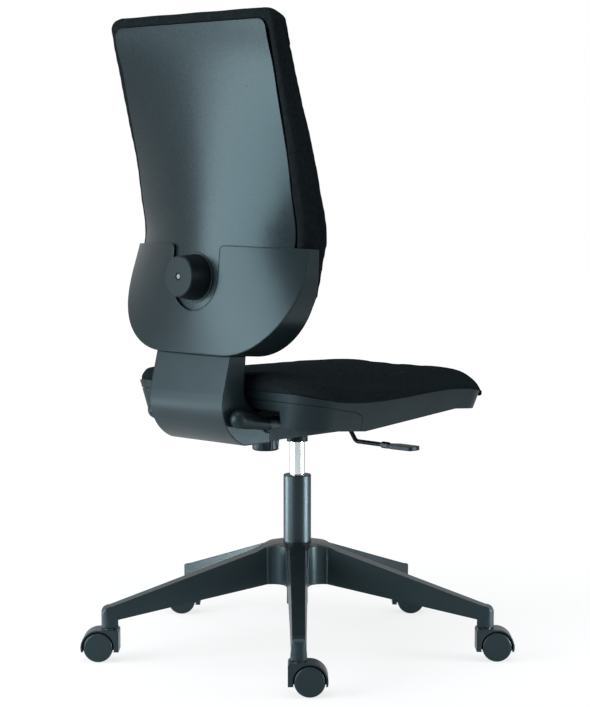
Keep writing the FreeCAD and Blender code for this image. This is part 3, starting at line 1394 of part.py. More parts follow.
def clamp_plate():
    """Plate in front of the upright that the stud pulls against it."""
    near = BAR_N - BAR_THICKNESS - SEAT_GAP
    plate = block_back(BAR_HALF, -22.0, 22.0, near - CLAMP_PLATE, near)
    hole = Part.makeCylinder(STUD_RADIUS + RUNNING, 60.0, back_point(0, 0, near - 30.0), OUTWARD)
    return plate.cut(hole)


KNOB_START = PANEL_N + PAD_HEIGHT + SEAT_GAP
KNOB_FACE = KNOB_START + KNOB_LENGTH
STUD_END = KNOB_FACE - 1.0


def height_knob():
    """Plain round knob, a little wider at its base, with a screw recess in its face."""
    edge = 2.0
    lip = 3.0

    def at(r, n):
        return V(r, 0, n)

    edges = [
        line(at(0, 0), at(KNOB_BASE_RADIUS, 0)),
        line(at(KNOB_BASE_RADIUS, 0), at(KNOB_BASE_RADIUS, lip)),
        line(at(KNOB_BASE_RADIUS, lip), at(KNOB_FACE_RADIUS, KNOB_LENGTH - edge)),
        line(at(KNOB_FACE_RADIUS, KNOB_LENGTH - edge), at(KNOB_FACE_RADIUS - edge, KNOB_LENGTH)),
        line(at(KNOB_FACE_RADIUS - edge, KNOB_LENGTH), at(0, KNOB_LENGTH)),
        line(at(0, KNOB_LENGTH), at(0, 0)),
    ]
    knob = face_of(edges).revolve(V(0, 0, 0), V(0, 0, 1), 360.0)
    knob = knob.cut(cylinder(STUD_RADIUS + 2.0, KNOB_LENGTH - 3.0, KNOB_LENGTH + 1.0))
    knob = knob.cut(cylinder(STUD_RADIUS, -1.0, KNOB_LENGTH))
    knob.rotate(V(0, 0, 0), V(1, 0, 0), BACK_LEAN - 90.0)
    knob.translate(back_point(0, 0, KNOB_START))
    return knob


def knob_stud():
    start = BAR_N - BAR_THICKNESS - SEAT_GAP - CLAMP_PLATE - 1.0
    return Part.makeCylinder(STUD_RADIUS, STUD_END - start, back_point(0, 0, start), OUTWARD)


# Spine: steel upright, its plastic covers, and the tilt arms

def upright_bar():
    """Flat bar: tongue under the seat, bend, and straight rise along the slide."""
    half = BAR_THICKNESS / 2
    bar_middle = BAR_N - half
    bend_z = TONGUE_Z + BAR_BEND * (1.0 + LEAN_SIN)
    rise = (bend_z - BACK_Z - bar_middle * LEAN_SIN) / LEAN_COS
    foot = back_point(0, rise, bar_middle)
    centre = V(0, foot.y - BAR_BEND * LEAN_COS, foot.z - BAR_BEND * LEAN_SIN)

    def on_bend(angle, radius):
        a = math.radians(angle)
        return V(-BAR_HALF, centre.y + radius * math.cos(a), centre.z + radius * math.sin(a))

    tongue_z = centre.z - BAR_BEND
    outer = BAR_BEND + half
    inner = BAR_BEND - half
    top_rear = back_point(-BAR_HALF, BAR_TOP, bar_middle + half)
    top_front = back_point(-BAR_HALF, BAR_TOP, bar_middle - half)
    end_low = V(-BAR_HALF, TONGUE_FRONT, tongue_z - half)
    end_high = V(-BAR_HALF, TONGUE_FRONT, tongue_z + half)
    middle_angle = (BACK_LEAN - 90.0) / 2
    edges = [
        line(top_rear, on_bend(BACK_LEAN, outer)),
        arc(on_bend(BACK_LEAN, outer), on_bend(middle_angle, outer), on_bend(-90.0, outer)),
        line(on_bend(-90.0, outer), end_low),
        line(end_low, end_high),
        line(end_high, on_bend(-90.0, inner)),
        arc(on_bend(-90.0, inner), on_bend(middle_angle, inner), on_bend(BACK_LEAN, inner)),
        line(on_bend(BACK_LEAN, inner), top_front),
        line(top_front, top_rear),
    ]
    return face_of(edges).extrude(V(2 * BAR_HALF, 0, 0)), centre


def cross_tube_place():
    """The cross tube sits in the upright's bend, against its front face."""
    centre = upright_bar()[1]
    y = centre.y + BAR_BEND - BAR_THICKNESS / 2 - CROSS_TUBE_RADIUS
    return y, centre.z - 6.0


def back_upright():
    bar = upright_bar()[0]
    tube_y, tube_z = cross_tube_place()
    reach = TILT_ARM_OUTER - 5.0
    tube = cylinder_x(CROSS_TUBE_RADIUS, -reach, reach, tube_y, tube_z)
    tube = tube.cut(cylinder_x(CROSS_TUBE_RADIUS - 2.5, -reach - 1.0, reach + 1.0, tube_y, tube_z))
    slot_half = STUD_RADIUS + 0.6
    slot = block_back(slot_half, 0.0, HEIGHT_TRAVEL, -60.0, 0.0)
    for s in (0.0, HEIGHT_TRAVEL):
        slot = slot.fuse(Part.makeCylinder(slot_half, 60.0, back_point(0, s, -60.0), OUTWARD))
    screw_slot = box(-TENSION_SCREW_RADIUS - 1.0, TENSION_SCREW_RADIUS + 1.0, TENSION_Y - 7.5, TENSION_Y + 15.0,
                     TONGUE_Z - 20.0, TONGUE_Z + 20.0)
    body = fuse([bar, tube]).cut(slot).cut(screw_slot)
    for x in (-CARRIER_SCREW_X, CARRIER_SCREW_X):
        body = body.cut(Part.makeCylinder(SCREW_RADIUS, 40.0, back_point(x, CARRIER_SCREW_S, -40.0), OUTWARD))
    return body


SPINE_TOP = 575.0
SPINE_REAR_TOP = (249.0, SPINE_TOP)
SPINE_REAR_KNEE = (273.0, 484.0)
SPINE_REAR_BEND = (263.0, 428.0)
SPINE_REAR_LOW = (222.0, SPINE_FOOT_BOTTOM)
SPINE_FRONT_TOP = (217.0, SPINE_TOP)
SPINE_FRONT_KNEE = (224.0, 488.0)
SPINE_FRONT_BEND = (215.0, 466.0)
SPINE_FRONT_LOW = (194.0, 452.0)
SPINE_HOLLOW_RADIUS = 17.0


def spine_profile(x, inset_rear, inset_front):
    """J-shaped outline of the spine, drawn in from its rear and from its front."""
    def rear(point, dy, dz):
        return V(x, point[0] - inset_rear * dy, point[1] + inset_rear * dz)

    def front(point, dy, dz):
        return V(x, point[0] + inset_front * dy, point[1] - inset_front * dz)

    hollow = SPINE_HOLLOW_RADIUS + inset_front
    heel = V(x, TILT_Y + hollow, TILT_Z + 8.0)
    under = V(x, TILT_Y, TILT_Z - hollow)
    between = V(x, TILT_Y + hollow * 0.75, TILT_Z - hollow * 0.66)
    toe = V(x, SPINE_FOOT_FRONT + inset_rear, TILT_Z - hollow)
    toe_low = V(x, SPINE_FOOT_FRONT + inset_rear, SPINE_FOOT_BOTTOM + inset_rear)
    rear_low = rear(SPINE_REAR_LOW, 0.0, 1.0)
    rear_knee = rear(SPINE_REAR_KNEE, 1.0, 0.0)
    rear_top = rear(SPINE_REAR_TOP, 1.0, 0.0)
    front_top = front(SPINE_FRONT_TOP, 1.0, 0.0)
    front_knee = front(SPINE_FRONT_KNEE, 1.0, 0.0)
    front_low = front(SPINE_FRONT_LOW, 0.4, 0.9)
    edges = [
        line(rear_top, rear_knee),
        arc(rear_knee, rear(SPINE_REAR_BEND, 0.85, 0.5), rear_low),
        line(rear_low, toe_low),
        line(toe_low, toe),
        line(toe, under),
        arc(under, between, heel),
        line(heel, front_low),
        arc(front_low, front(SPINE_FRONT_BEND, 0.8, 0.6), front_knee),
        line(front_knee, front_top),
        line(front_top, rear_top),
    ]
    return face_of(edges)


def spine_solid(half, inset_rear, inset_front):
    return spine_profile(-half, inset_rear, inset_front).extrude(V(2 * half, 0, 0))


def spine_trim(shape):
    """The carrier stands on the spine's top edge."""
    limit = u_prism(-SEAT_GAP, CARRIER_TOP)
    return max(shape.cut(limit).Solids, key=lambda solid: solid.Volume)


def tongue_window():
    """Way out of the foot for the upright's tongue."""
    return box(-BAR_HALF - 1.5, BAR_HALF + 1.5, 0.0, SPINE_FOOT_FRONT + 30.0, TONGUE_Z - BAR_THICKNESS / 2 - 0.5,
               TONGUE_Z + BAR_THICKNESS / 2 + 1.5)


def cross_tube_hole():
    tube_y, tube_z = cross_tube_place()
    return cylinder_x(CROSS_TUBE_RADIUS + SEAT_GAP, -BIG, BIG, tube_y, tube_z)


def spine_cover():
    """Rear cover: rear wall, side walls and the bottom of the foot, open to the front."""
    outer = spine_solid(SPINE_HALF, 0.0, 0.0)
    inner = spine_solid(SPINE_HALF - SPINE_WALL, SPINE_WALL, -1.0)
    cover = outer.cut(inner).cut(cross_tube_hole()).cut(tongue_window())
    return spine_trim(cover)


def spine_front_cover():
    """Front cover set between the rear cover's side walls."""
    half = SPINE_HALF - SPINE_WALL - SEAT_GAP
    outer = spine_solid(half, SPINE_WALL + SEAT_GAP, 1.0)
    inner = spine_solid(half + 5.0, -2.0, 1.0 + SPINE_WALL)
    cover = outer.cut(inner).cut(cross_tube_hole()).cut(tongue_window())
    return spine_trim(cover)


def tilt_arm(side):
    """Tapered arm from the cross tube's end to a squared block on the tilt axle."""
    tube_y, tube_z = cross_tube_place()
    middle = (TILT_ARM_INNER + TILT_ARM_OUTER) / 2
    rear = V(middle, tube_y + 6.0, tube_z)
    front = V(middle, TILT_Y + TILT_ARM_BLOCK - 2.0, TILT_Z)
    along = front - rear
    half_width = (TILT_ARM_OUTER - TILT_ARM_INNER) / 2
    barrel = Part.makeCone(TILT_ARM_REAR_RADIUS, half_width, along.Length, rear, along)
    dome = Part.makeSphere(TILT_ARM_REAR_RADIUS, rear)
    block = box(TILT_ARM_INNER, TILT_ARM_OUTER, TILT_Y - TILT_ARM_BLOCK, TILT_Y + TILT_ARM_BLOCK,
                TILT_Z - TILT_ARM_BLOCK_HALF, TILT_Z + TILT_ARM_BLOCK_HALF)
    long_edges = [edge for edge in block.Edges if edge.BoundBox.YLength > 1.0 and edge.BoundBox.XMin > middle]
    block = block.makeChamfer(4.0, long_edges)
    slice_half = box(TILT_ARM_INNER, TILT_ARM_OUTER + 8.0, 0.0, BIG, 0.0, BIG)
    arm = fuse([barrel.common(slice_half), dome.common(slice_half), block])
    tube_hole = cylinder_x(CROSS_TUBE_RADIUS, 0.0, TILT_ARM_OUTER - 5.0, tube_y, tube_z)
    axle_hole = cylinder_x(TILT_AXLE_RADIUS + RUNNING, 0.0, TILT_ARM_OUTER - 4.0 + SEAT_GAP, TILT_Y, TILT_Z)
    arm = arm.cut(tube_hole).cut(axle_hole)
    return mirrored_x(arm) if side < 0 else arm


# All pieces

def all_parts():
    parts = {
        "star_base": star_base(),
        "column_tube": column_tube(),
        "guide_bush": guide_bush(),
        "thrust_bearing": thrust_bearing(),
        "piston_rod": piston_rod(),
        "rod_clip": rod_clip(),
        "gas_cylinder": gas_cylinder(),
        "release_pin": release_pin(),
        "mechanism_housing": mechanism_housing(),
        "tilt_axle": tilt_axle(),
        "tension_knob": tension_knob(),
        "tension_screw": tension_screw(),
        "tension_nut": tension_nut(),
        "tension_spring": tension_spring(),
        "lever_rod": lever_rod(),
        "lever_grip": lever_grip(),
        "seat_board": seat_board(),
        "seat_shell": seat_shell(),
        "rear_cover": rear_cover(),
        "seat_fasteners": seat_fasteners(),
        "seat_cushion": seat_cushion(),
        "back_upright": back_upright(),
        "spine_cover": spine_cover(),
        "spine_front_cover": spine_front_cover(),
        "tilt_arm_left": tilt_arm(1),
        "tilt_arm_right": tilt_arm(-1),
        "back_carrier": back_carrier(),
        "carrier_screws": carrier_screws(),
        "back_shell": back_shell(),
        "back_board": back_board(),
        "back_screws": back_screws(),
        "back_cushion": back_cushion(),
        "clamp_plate": clamp_plate(),
        "height_knob": height_knob(),
        "knob_stud": knob_stud(),
    }
    parts.update(casters())
    return parts


def main():
    os.makedirs("parts", exist_ok=True)
    for name, shape in all_parts().items():
        shape.exportStep("parts/%s.step" % name)
        box_of = shape.BoundBox
        print("%-22s solids %2d valid %s volume %10.0f  x %7.1f %7.1f  y %7.1f %7.1f  z %7.1f %7.1f" % (
            name, len(shape.Solids), shape.isValid(), shape.Volume, box_of.XMin, box_of.XMax, box_of.YMin,
            box_of.YMax, box_of.ZMin, box_of.ZMax))


main()
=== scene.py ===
import math

import bpy
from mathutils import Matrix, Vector


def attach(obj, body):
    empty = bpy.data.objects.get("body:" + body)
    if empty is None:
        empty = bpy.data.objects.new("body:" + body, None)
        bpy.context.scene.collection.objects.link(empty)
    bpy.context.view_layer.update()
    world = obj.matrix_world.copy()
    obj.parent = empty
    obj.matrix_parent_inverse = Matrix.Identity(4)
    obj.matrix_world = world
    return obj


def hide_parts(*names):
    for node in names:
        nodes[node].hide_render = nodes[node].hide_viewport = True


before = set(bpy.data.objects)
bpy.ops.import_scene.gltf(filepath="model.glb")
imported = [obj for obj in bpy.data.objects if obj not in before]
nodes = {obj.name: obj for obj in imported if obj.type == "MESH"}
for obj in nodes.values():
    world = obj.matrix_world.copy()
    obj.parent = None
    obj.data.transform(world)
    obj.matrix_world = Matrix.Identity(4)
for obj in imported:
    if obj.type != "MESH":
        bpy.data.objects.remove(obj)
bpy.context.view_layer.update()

# Everything is in metres, in the frame of the solids: +Z up, the sitter faces -Y.

# Camera, fitted to the photograph
CAMERA_PLACE = (-2.4778, 2.5839, 0.8513)
CAMERA_PITCH = 5.10
CAMERA_HEADING = 223.865
FOCAL_LENGTH = 102.11
SENSOR = 36.0

# Padding: the mesh it is made of, and how it is blown up
MERGE_DISTANCE = 0.00002
VOXEL = 0.0055
PRESSURE = 4.0
SIM_FRAMES = 20

# Seat pad: how far it swells, and the height over the seam in which its cover goes from held to free
SEAT_SWELL = 0.003
SEAT_HELD = 0.006
SEAT_EASED = 0.008
SEAT_RIPPLE = 0.00018
SEAT_RIPPLE_LENGTH = 0.13

# Line along which the seat's cover meets its shell, as y and z from front to rear
SEAT_SEAM = ((-0.287, 0.440), (-0.257, 0.458), (-0.205, 0.4695), (-0.140, 0.473), (0.043, 0.466),
             (0.171, 0.4795), (0.215, 0.491))

# Nose of the seat: where it starts to roll down, and by how much beside the middle and at the corners
NOSE_START = -0.170
NOSE_RUN = 0.095
NOSE_HEIGHT = 0.022
NOSE_SIDE = 0.020
NOSE_SIDE_RUN = 0.050
NOSE_DROP = 0.0055
NOSE_CORNER = 0.150
NOSE_CORNER_RUN = 0.060
NOSE_CORNER_DROP = 0.013

# Back pad: held behind a leaning plane and below a height
BACK_SWELL = 0.0045
BACK_HELD_Y = 0.205
BACK_HELD_SLOPE = 0.09
BACK_HELD_FROM_Z = 0.70
BACK_HELD_BELOW = 0.735
BACK_RIPPLE = 0.0002
BACK_RIPPLE_LENGTH = 0.10

# Groove in the sides of the back pad: its place as a share of the way from rear to front, and its size
GROOVE_SHARE = 0.66
GROOVE_WIDTH = 0.012
GROOVE_DEPTH = 0.0035
SLICE = 0.012   # height of the slices in which a pad's side is measured
FULL_SIDE = 0.6   # sideways part of the normal of a point that is measured
PART_SIDE = 0.2   # the same for a point that is moved

# Folds at the top corners of the back pad: path, width and depth
CORNER_FOLDS = (
    (((0.178, 0.266, 1.096), (0.190, 0.262, 1.104), (0.199, 0.248, 1.108)), 0.006, 0.003),
    (((0.170, 0.267, 1.104), (0.166, 0.265, 1.113), (0.165, 0.252, 1.119)), 0.005, 0.0025),
)


# Working with objects

def pick(*objects):
    """Selects only these objects, the first one active."""
    bpy.ops.object.select_all(action="DESELECT")
    for obj in objects:
        obj.select_set(True)
    bpy.context.view_layer.objects.active = objects[0]


def apply_modifier(obj, modifier):
    pick(obj)
    bpy.ops.object.modifier_apply(modifier=modifier.name)


def copy_of_node(node, name):
    """A merged copy of a solid's mesh as a new object at the origin."""
    obj = bpy.data.objects.new(name, nodes[node].data.copy())
    bpy.context.scene.collection.objects.link(obj)
    obj.data.materials.clear()
    pick(obj)
    bpy.ops.object.mode_set(mode="EDIT")
    bpy.ops.mesh.select_all(action="SELECT")
    bpy.ops.mesh.remove_doubles(threshold=MERGE_DISTANCE)
    bpy.ops.mesh.normals_make_consistent(inside=False)
    bpy.ops.object.mode_set(mode="OBJECT")
    return obj


def points_of(obj):
    return [vertex.co.copy() for vertex in obj.data.vertices]


def set_points(obj, points):
    for vertex, point in zip(obj.data.vertices, points):
        vertex.co = point
    obj.data.update()


# Building materials

class Finish:
    """A material under construction: a shader, Object coordinates, and small helpers."""

    def __init__(self, name):
        self.material = bpy.data.materials.new(name)
        self.material.use_nodes = True
        self.tree = self.material.node_tree
        self.shader = self.tree.nodes["Principled BSDF"]
        coordinates = self.tree.nodes.new("ShaderNodeTexCoord")
        self.place = coordinates.outputs["Object"]

    def node(self, kind, **values):
        made = self.tree.nodes.new(kind)
        for key, value in values.items():
            setattr(made, key, value)
        return made

    def link(self, source, target):
        self.tree.links.new(source, target)

    def noise(self, scale, detail=2.0, roughness=0.5, stretch=None):
        made = self.node("ShaderNodeTexNoise")
        made.inputs["Scale"].default_value = scale
        made.inputs["Detail"].default_value = detail
        made.inputs["Roughness"].default_value = roughness
        self.link(self.stretched(stretch), made.inputs["Vector"])
        return made.outputs["Fac"]

    def stretched(self, stretch):
        if stretch is None:
            return self.place
        mapping = self.node("ShaderNodeMapping")
        mapping.inputs["Scale"].default_value = stretch
        self.link(self.place, mapping.inputs["Vector"])
        return mapping.outputs["Vector"]

    def spread(self, source, low, high, start=0.3, end=0.7):
        """Maps a pattern to a range of values."""
        made = self.node("ShaderNodeMapRange")
        made.inputs["From Min"].default_value = start
        made.inputs["From Max"].default_value = end
        made.inputs["To Min"].default_value = low
        made.inputs["To Max"].default_value = high
        self.link(source, made.inputs["Value"])
        return made.outputs["Result"]

    def tint(self, source, dark, light, start=0.3, end=0.7):
        """Maps a pattern to a range of colours."""
        ramp = self.node("ShaderNodeValToRGB")
        ramp.color_ramp.elements[0].position = start
        ramp.color_ramp.elements[0].color = (*dark, 1.0)
        ramp.color_ramp.elements[1].position = end
        ramp.color_ramp.elements[1].color = (*light, 1.0)
        self.link(source, ramp.inputs["Fac"])
        return ramp.outputs["Color"]

    def bump(self, source, distance, strength=1.0, below=None):
        made = self.node("ShaderNodeBump")
        made.inputs["Distance"].default_value = distance
        made.inputs["Strength"].default_value = strength
        self.link(source, made.inputs["Height"])
        if below is not None:
            self.link(below, made.inputs["Normal"])
        return made.outputs["Normal"]

    def soft_edges(self, radius):
        made = self.node("ShaderNodeBevel", samples=6)
        made.inputs["Radius"].default_value = radius
        return made.outputs["Normal"]

    def set(self, **values):
        for name, value in values.items():
            self.shader.inputs[name.replace("_", " ")].default_value = value


GLOSS_TINT = (0.64, 0.91, 1.0, 1.0)


def moulded_plastic(name, dark, light, roughness, grain=0.00004, edge=0.0012, specular=0.36):
    """Moulded plastic: a fine spark-eroded grain, slight clouding, and slightly worn gloss."""
    finish = Finish(name)
    clouds = finish.noise(14.0, 4.0, 0.6)
    finish.link(finish.tint(clouds, dark, light), finish.shader.inputs["Base Color"])
    wear = finish.noise(90.0, 5.0, 0.65)
    worn = finish.spread(wear, roughness - 0.012, roughness + 0.018)
    finish.link(worn, finish.shader.inputs["Roughness"])
    fine = finish.noise(1900.0, 2.0, 0.6)
    normal = finish.bump(fine, grain, 0.6, finish.soft_edges(edge))
    finish.link(normal, finish.shader.inputs["Normal"])
    finish.set(Specular_IOR_Level=specular, Specular_Tint=GLOSS_TINT)
    return finish.material


def metal(name, dark, light, roughness, stretch=None, scale=60.0):
    """Bare metal with drawn or turned marks."""
    finish = Finish(name)
    marks = finish.noise(scale, 4.0, 0.6, stretch)
    finish.link(finish.tint(marks, dark, light), finish.shader.inputs["Base Color"])
    finish.link(finish.spread(marks, roughness - 0.04, roughness + 0.06), finish.shader.inputs["Roughness"])
    normal = finish.bump(marks, 0.00002, 0.3, finish.soft_edges(0.0004))
    finish.link(normal, finish.shader.inputs["Normal"])
    finish.set(Metallic=1.0)
    return finish.material


def painted_steel(name, dark, light, roughness, specular):
    """Powder coat: a faint orange peel over steel."""
    finish = Finish(name)
    clouds = finish.noise(20.0, 3.0, 0.5)
    finish.link(finish.tint(clouds, dark, light), finish.shader.inputs["Base Color"])
    peel = finish.noise(420.0, 2.0, 0.5)
    finish.link(finish.spread(peel, roughness - 0.03, roughness + 0.04), finish.shader.inputs["Roughness"])
    normal = finish.bump(peel, 0.00006, 0.35, finish.soft_edges(0.0008))
    finish.link(normal, finish.shader.inputs["Normal"])
    finish.set(Specular_IOR_Level=specular, Specular_Tint=GLOSS_TINT)
    return finish.material


def shade_dark_plywood(name):
    """Plywood coloured near-black as painted shade, for where the board shows in the opening of the seat's
    shell; its grain still showing.
    """
    finish = Finish(name)
    grain = finish.noise(30.0, 6.0, 0.65, (1.0, 0.12, 3.0))
    # near-black colours: painted shade for the board seen through the shell's opening
    painted_shade = finish.tint(grain, (0.010, 0.011, 0.012), (0.022, 0.023, 0.024))
    finish.link(painted_shade, finish.shader.inputs["Base Color"])
    finish.link(finish.bump(grain, 0.0002, 0.4), finish.shader.inputs["Normal"])
    finish.set(Roughness=0.7)
    return finish.material


def woven_fabric(name, dark, light):
    """Plain crepe weave: crossing threads, fuzz between them, and a mottled dye."""
    finish = Finish(name)
    threads = []
    for axis in ("X", "Y", "Z"):
        wave = finish.node("ShaderNodeTexWave", wave_type="BANDS", bands_direction=axis)
        wave.inputs["Scale"].default_value = 430.0
        wave.inputs["Distortion"].default_value = 2.5
        wave.inputs["Detail"].default_value = 2.0
        wave.inputs["Detail Scale"].default_value = 1.5
        finish.link(finish.place, wave.inputs["Vector"])
        threads.append(wave.outputs["Fac"])
    crossed = finish.node("ShaderNodeMath", operation="MULTIPLY")
    finish.link(threads[0], crossed.inputs[0])
    finish.link(threads[1], crossed.inputs[1])
    cloth = finish.node("ShaderNodeMath", operation="MAXIMUM")
    finish.link(crossed.outputs[0], cloth.inputs[0])
    finish.link(threads[2], cloth.inputs[1])
    mottle = finish.noise(160.0, 5.0, 0.7)
    weave_colour = finish.node("ShaderNodeMath", operation="MULTIPLY_ADD")
    finish.link(cloth.outputs[0], weave_colour.inputs[0])
    weave_colour.inputs[1].default_value = 0.35
    finish.link(mottle, weave_colour.inputs[2])
    dye = finish.tint(weave_colour.outputs[0], dark, light, 0.35, 0.95)
    finish.link(dye, finish.shader.inputs["Base Color"])
    fuzz = finish.noise(900.0, 3.0, 0.6)
    first = finish.bump(cloth.outputs[0], 0.00025, 0.5)
    finish.link(finish.bump(fuzz, 0.0002, 0.4, first), finish.shader.inputs["Normal"])
    finish.set(Roughness=0.95, Specular_IOR_Level=0.0, Sheen_Weight=0.015, Sheen_Roughness=0.4)
    finish.shader.inputs["Sheen Tint"].default_value = (0.55, 0.62, 0.66, 1.0)
    return finish.material


FRAME_PLASTIC = moulded_plastic("frame_plastic", (0.006, 0.010, 0.012), (0.009, 0.014, 0.016), 0.38,
                                specular=0.26)
SPINE_PLASTIC = moulded_plastic("spine_plastic", (0.007, 0.012, 0.014), (0.010, 0.016, 0.019), 0.35,
                                0.00003, 0.004, 0.31)
SHELL_PLASTIC = moulded_plastic("shell_plastic", (0.006, 0.010, 0.012), (0.009, 0.014, 0.016), 0.42,
                                0.00004, 0.0012, 0.22)
PANEL_PLASTIC = moulded_plastic("panel_plastic", (0.006, 0.010, 0.012), (0.007, 0.0115, 0.0135), 0.27,
                                0.00001)
CARRIER_PLASTIC = moulded_plastic("carrier_plastic", (0.006, 0.010, 0.012), (0.008, 0.0125, 0.0145), 0.29,
                                  0.00002, 0.004, 0.34)
BASE_PLASTIC = moulded_plastic("base_plastic", (0.008, 0.013, 0.015), (0.011, 0.017, 0.020), 0.34,
                               0.00004, 0.003)
WHEEL_PLASTIC = moulded_plastic("wheel_plastic", (0.008, 0.013, 0.015), (0.011, 0.016, 0.018), 0.40,
                                0.00003, 0.0015)
KNOB_PLASTIC = moulded_plastic("knob_plastic", (0.003, 0.005, 0.006), (0.005, 0.007, 0.008), 0.34,
                               0.00003, 0.0016, 0.22)
TUBE_PAINT = painted_steel("tube_paint", (0.003, 0.004, 0.005), (0.004, 0.0055, 0.0065), 0.34, 0.5)
STEEL_PAINT = painted_steel("steel_paint", (0.003, 0.0045, 0.005), (0.005, 0.007, 0.008), 0.45, 0.18)
BRIGHT_STEEL = metal("bright_steel", (0.50, 0.53, 0.55), (0.66, 0.69, 0.70), 0.26)
DULL_ZINC = metal("dull_zinc", (0.10, 0.12, 0.13), (0.16, 0.18, 0.19), 0.42)
CHROME = metal("chrome", (0.74, 0.80, 0.81), (0.82, 0.87, 0.88), 0.07, (1.0, 1.0, 0.1))
# the plywood's near-black colour is painted shade, not a real stain
PLYWOOD = shade_dark_plywood("plywood")
FABRIC = woven_fabric("fabric", (0.004, 0.0055, 0.0065), (0.014, 0.018, 0.020))

NODE_FINISH = {
    "star_base": BASE_PLASTIC,
    "column_tube": TUBE_PAINT,
    "guide_bush": FRAME_PLASTIC,
    "gas_cylinder": CHROME,
    "mechanism_housing": STEEL_PAINT,
    "tension_knob": KNOB_PLASTIC,
    "knob_stud": DULL_ZINC,
    "lever_rod": STEEL_PAINT,
    "lever_grip": KNOB_PLASTIC,
    "seat_board": PLYWOOD,
    "seat_shell": SHELL_PLASTIC,
    "rear_cover": SHELL_PLASTIC,
    "back_upright": STEEL_PAINT,
    "spine_cover": SPINE_PLASTIC,
    "spine_front_cover": FRAME_PLASTIC,
    "tilt_arm_left": FRAME_PLASTIC,
    "tilt_arm_right": FRAME_PLASTIC,
    "back_carrier": CARRIER_PLASTIC,
    "back_shell": PANEL_PLASTIC,
    "back_board": PLYWOOD,
    "height_knob": KNOB_PLASTIC,
}


def finish_for(node):
    if node in NODE_FINISH:
        return NODE_FINISH[node]
    if "wheel" in node:
        return WHEEL_PLASTIC
    if node.startswith("caster") and node.endswith("body"):
        return BASE_PLASTIC
    return BRIGHT_STEEL


for node_name, node_object in nodes.items():
    node_object.data.materials.clear()
    node_object.data.materials.append(finish_for(node_name))


# Padding

def swell(obj, held, cap):
    """Blows a pad up from inside with cloth, holding the points that rest on something."""
    start = points_of(obj)
    group = obj.vertex_groups.new(name="held")
    for index, point in enumerate(start):
        group.add([index], held(point), "REPLACE")
    cloth = obj.modifiers.new("padding", "CLOTH")
    cloth.settings.use_pressure = True
    cloth.settings.uniform_pressure_force = PRESSURE
    cloth.settings.effector_weights.gravity = 0.0
    cloth.settings.vertex_group_mass = "held"
    cloth.point_cache.frame_start = 1
    cloth.point_cache.frame_end = SIM_FRAMES
    for step in range(1, SIM_FRAMES + 1):
        bpy.context.scene.frame_set(step)
    apply_modifier(obj, cloth)
    bpy.context.scene.frame_set(1)
    swollen = []
    for before, vertex in zip(start, obj.data.vertices):
        move = vertex.co - before
        if move.length > cap:
            move = move.normalized() * cap
        swollen.append(before + move)
    set_points(obj, swollen)
    obj.vertex_groups.clear()


def voxels(obj, size):
    pick(obj)
    obj.data.remesh_voxel_size = size
    bpy.ops.object.voxel_remesh()


def ripple(obj, height, length):
    """Slight unevenness of a hand-covered pad, as long waves that cross each other."""
    moved = []
    for vertex in obj.data.vertices:
        x, y, z = (2.0 * math.pi / length) * vertex.co
        crossing = math.sin(1.0 * x + 0.7 * z) * math.sin(0.8 * y - 1.1 * z + 0.5)
        wave = crossing + 0.6 * math.sin(1.7 * z + 0.9 * x - y)
        moved.append(vertex.co + vertex.normal * (height * wave))
    set_points(obj, moved)


def distance_to_path(point, path):
    nearest = 1.0
    for start, end in zip(path, path[1:]):
        run = end - start
        share = min(max((point - start).dot(run) / run.length_squared, 0.0), 1.0)
        nearest = min(nearest, (start + run * share - point).length)
    return nearest


def crease(obj, path, width, depth):
    """Presses a fold into a pad along a path on its surface."""
    path = [Vector(point) for point in path]
    reach = width + sum((b - a).length for a, b in zip(path, path[1:]))
    moved = []
    for vertex in obj.data.vertices:
        point = vertex.co.copy()
        if (point - path[0]).length < reach:
            near = distance_to_path(point, path) / width
            if near < 1.0:
                point -= vertex.normal * (depth * (1.0 - near) ** 2)
        moved.append(point)
    set_points(obj, moved)


def side_groove(obj, share, width, depth):
    """Presses a long soft groove into both sides of a pad, where the cover pulls in."""
    slices = {}
    for vertex in obj.data.vertices:
        if abs(vertex.normal.x) > FULL_SIDE:
            slices.setdefault(round(vertex.co.z / SLICE), []).append(vertex.co.y)
    ends = {key: (max(ys), min(ys)) for key, ys in slices.items()}
    moved = []
    for vertex in obj.data.vertices:
        point = vertex.co.copy()
        height = point.z / SLICE
        near_slices = [ends[key] for key in range(round(height) - 2, round(height) + 3) if key in ends]
        if abs(vertex.normal.x) > PART_SIDE and len(near_slices) == 5:
            rear = sum(pair[0] for pair in near_slices) / 5.0
            front = sum(pair[1] for pair in near_slices) / 5.0
            wander = 0.05 * math.sin(point.z * 61.0) + 0.03 * math.sin(point.z * 143.0 + 1.0)
            line = rear + (front - rear) * (share + wander)
            off = abs(point.y - line) / width
            if off < 1.0:
                point -= vertex.normal * (depth * (1.0 - off * off) ** 2)
        moved.append(point)
    set_points(obj, moved)


def smooth_and_divide(obj):
    smooth = obj.modifiers.new("smooth", "SMOOTH")
    smooth.factor = 0.5
    smooth.iterations = 4
    apply_modifier(obj, smooth)
    divide = obj.modifiers.new("divide", "SUBSURF")
    divide.levels = 1
    divide.render_levels = 1
    apply_modifier(obj, divide)
    pick(obj)
    bpy.ops.object.shade_smooth()


def along_line(points, y):
    """Height of a line of points at y."""
    for (y0, z0), (y1, z1) in zip(points, points[1:]):
        if y <= y1:
            share = max((y - y0) / (y1 - y0), 0.0)
            return z0 + (z1 - z0) * share
    return points[-1][1]


def ease(value):
    """Rises smoothly from 0 to 1."""
    value = min(max(value, 0.0), 1.0)
    return value * value * (3.0 - 2.0 * value)


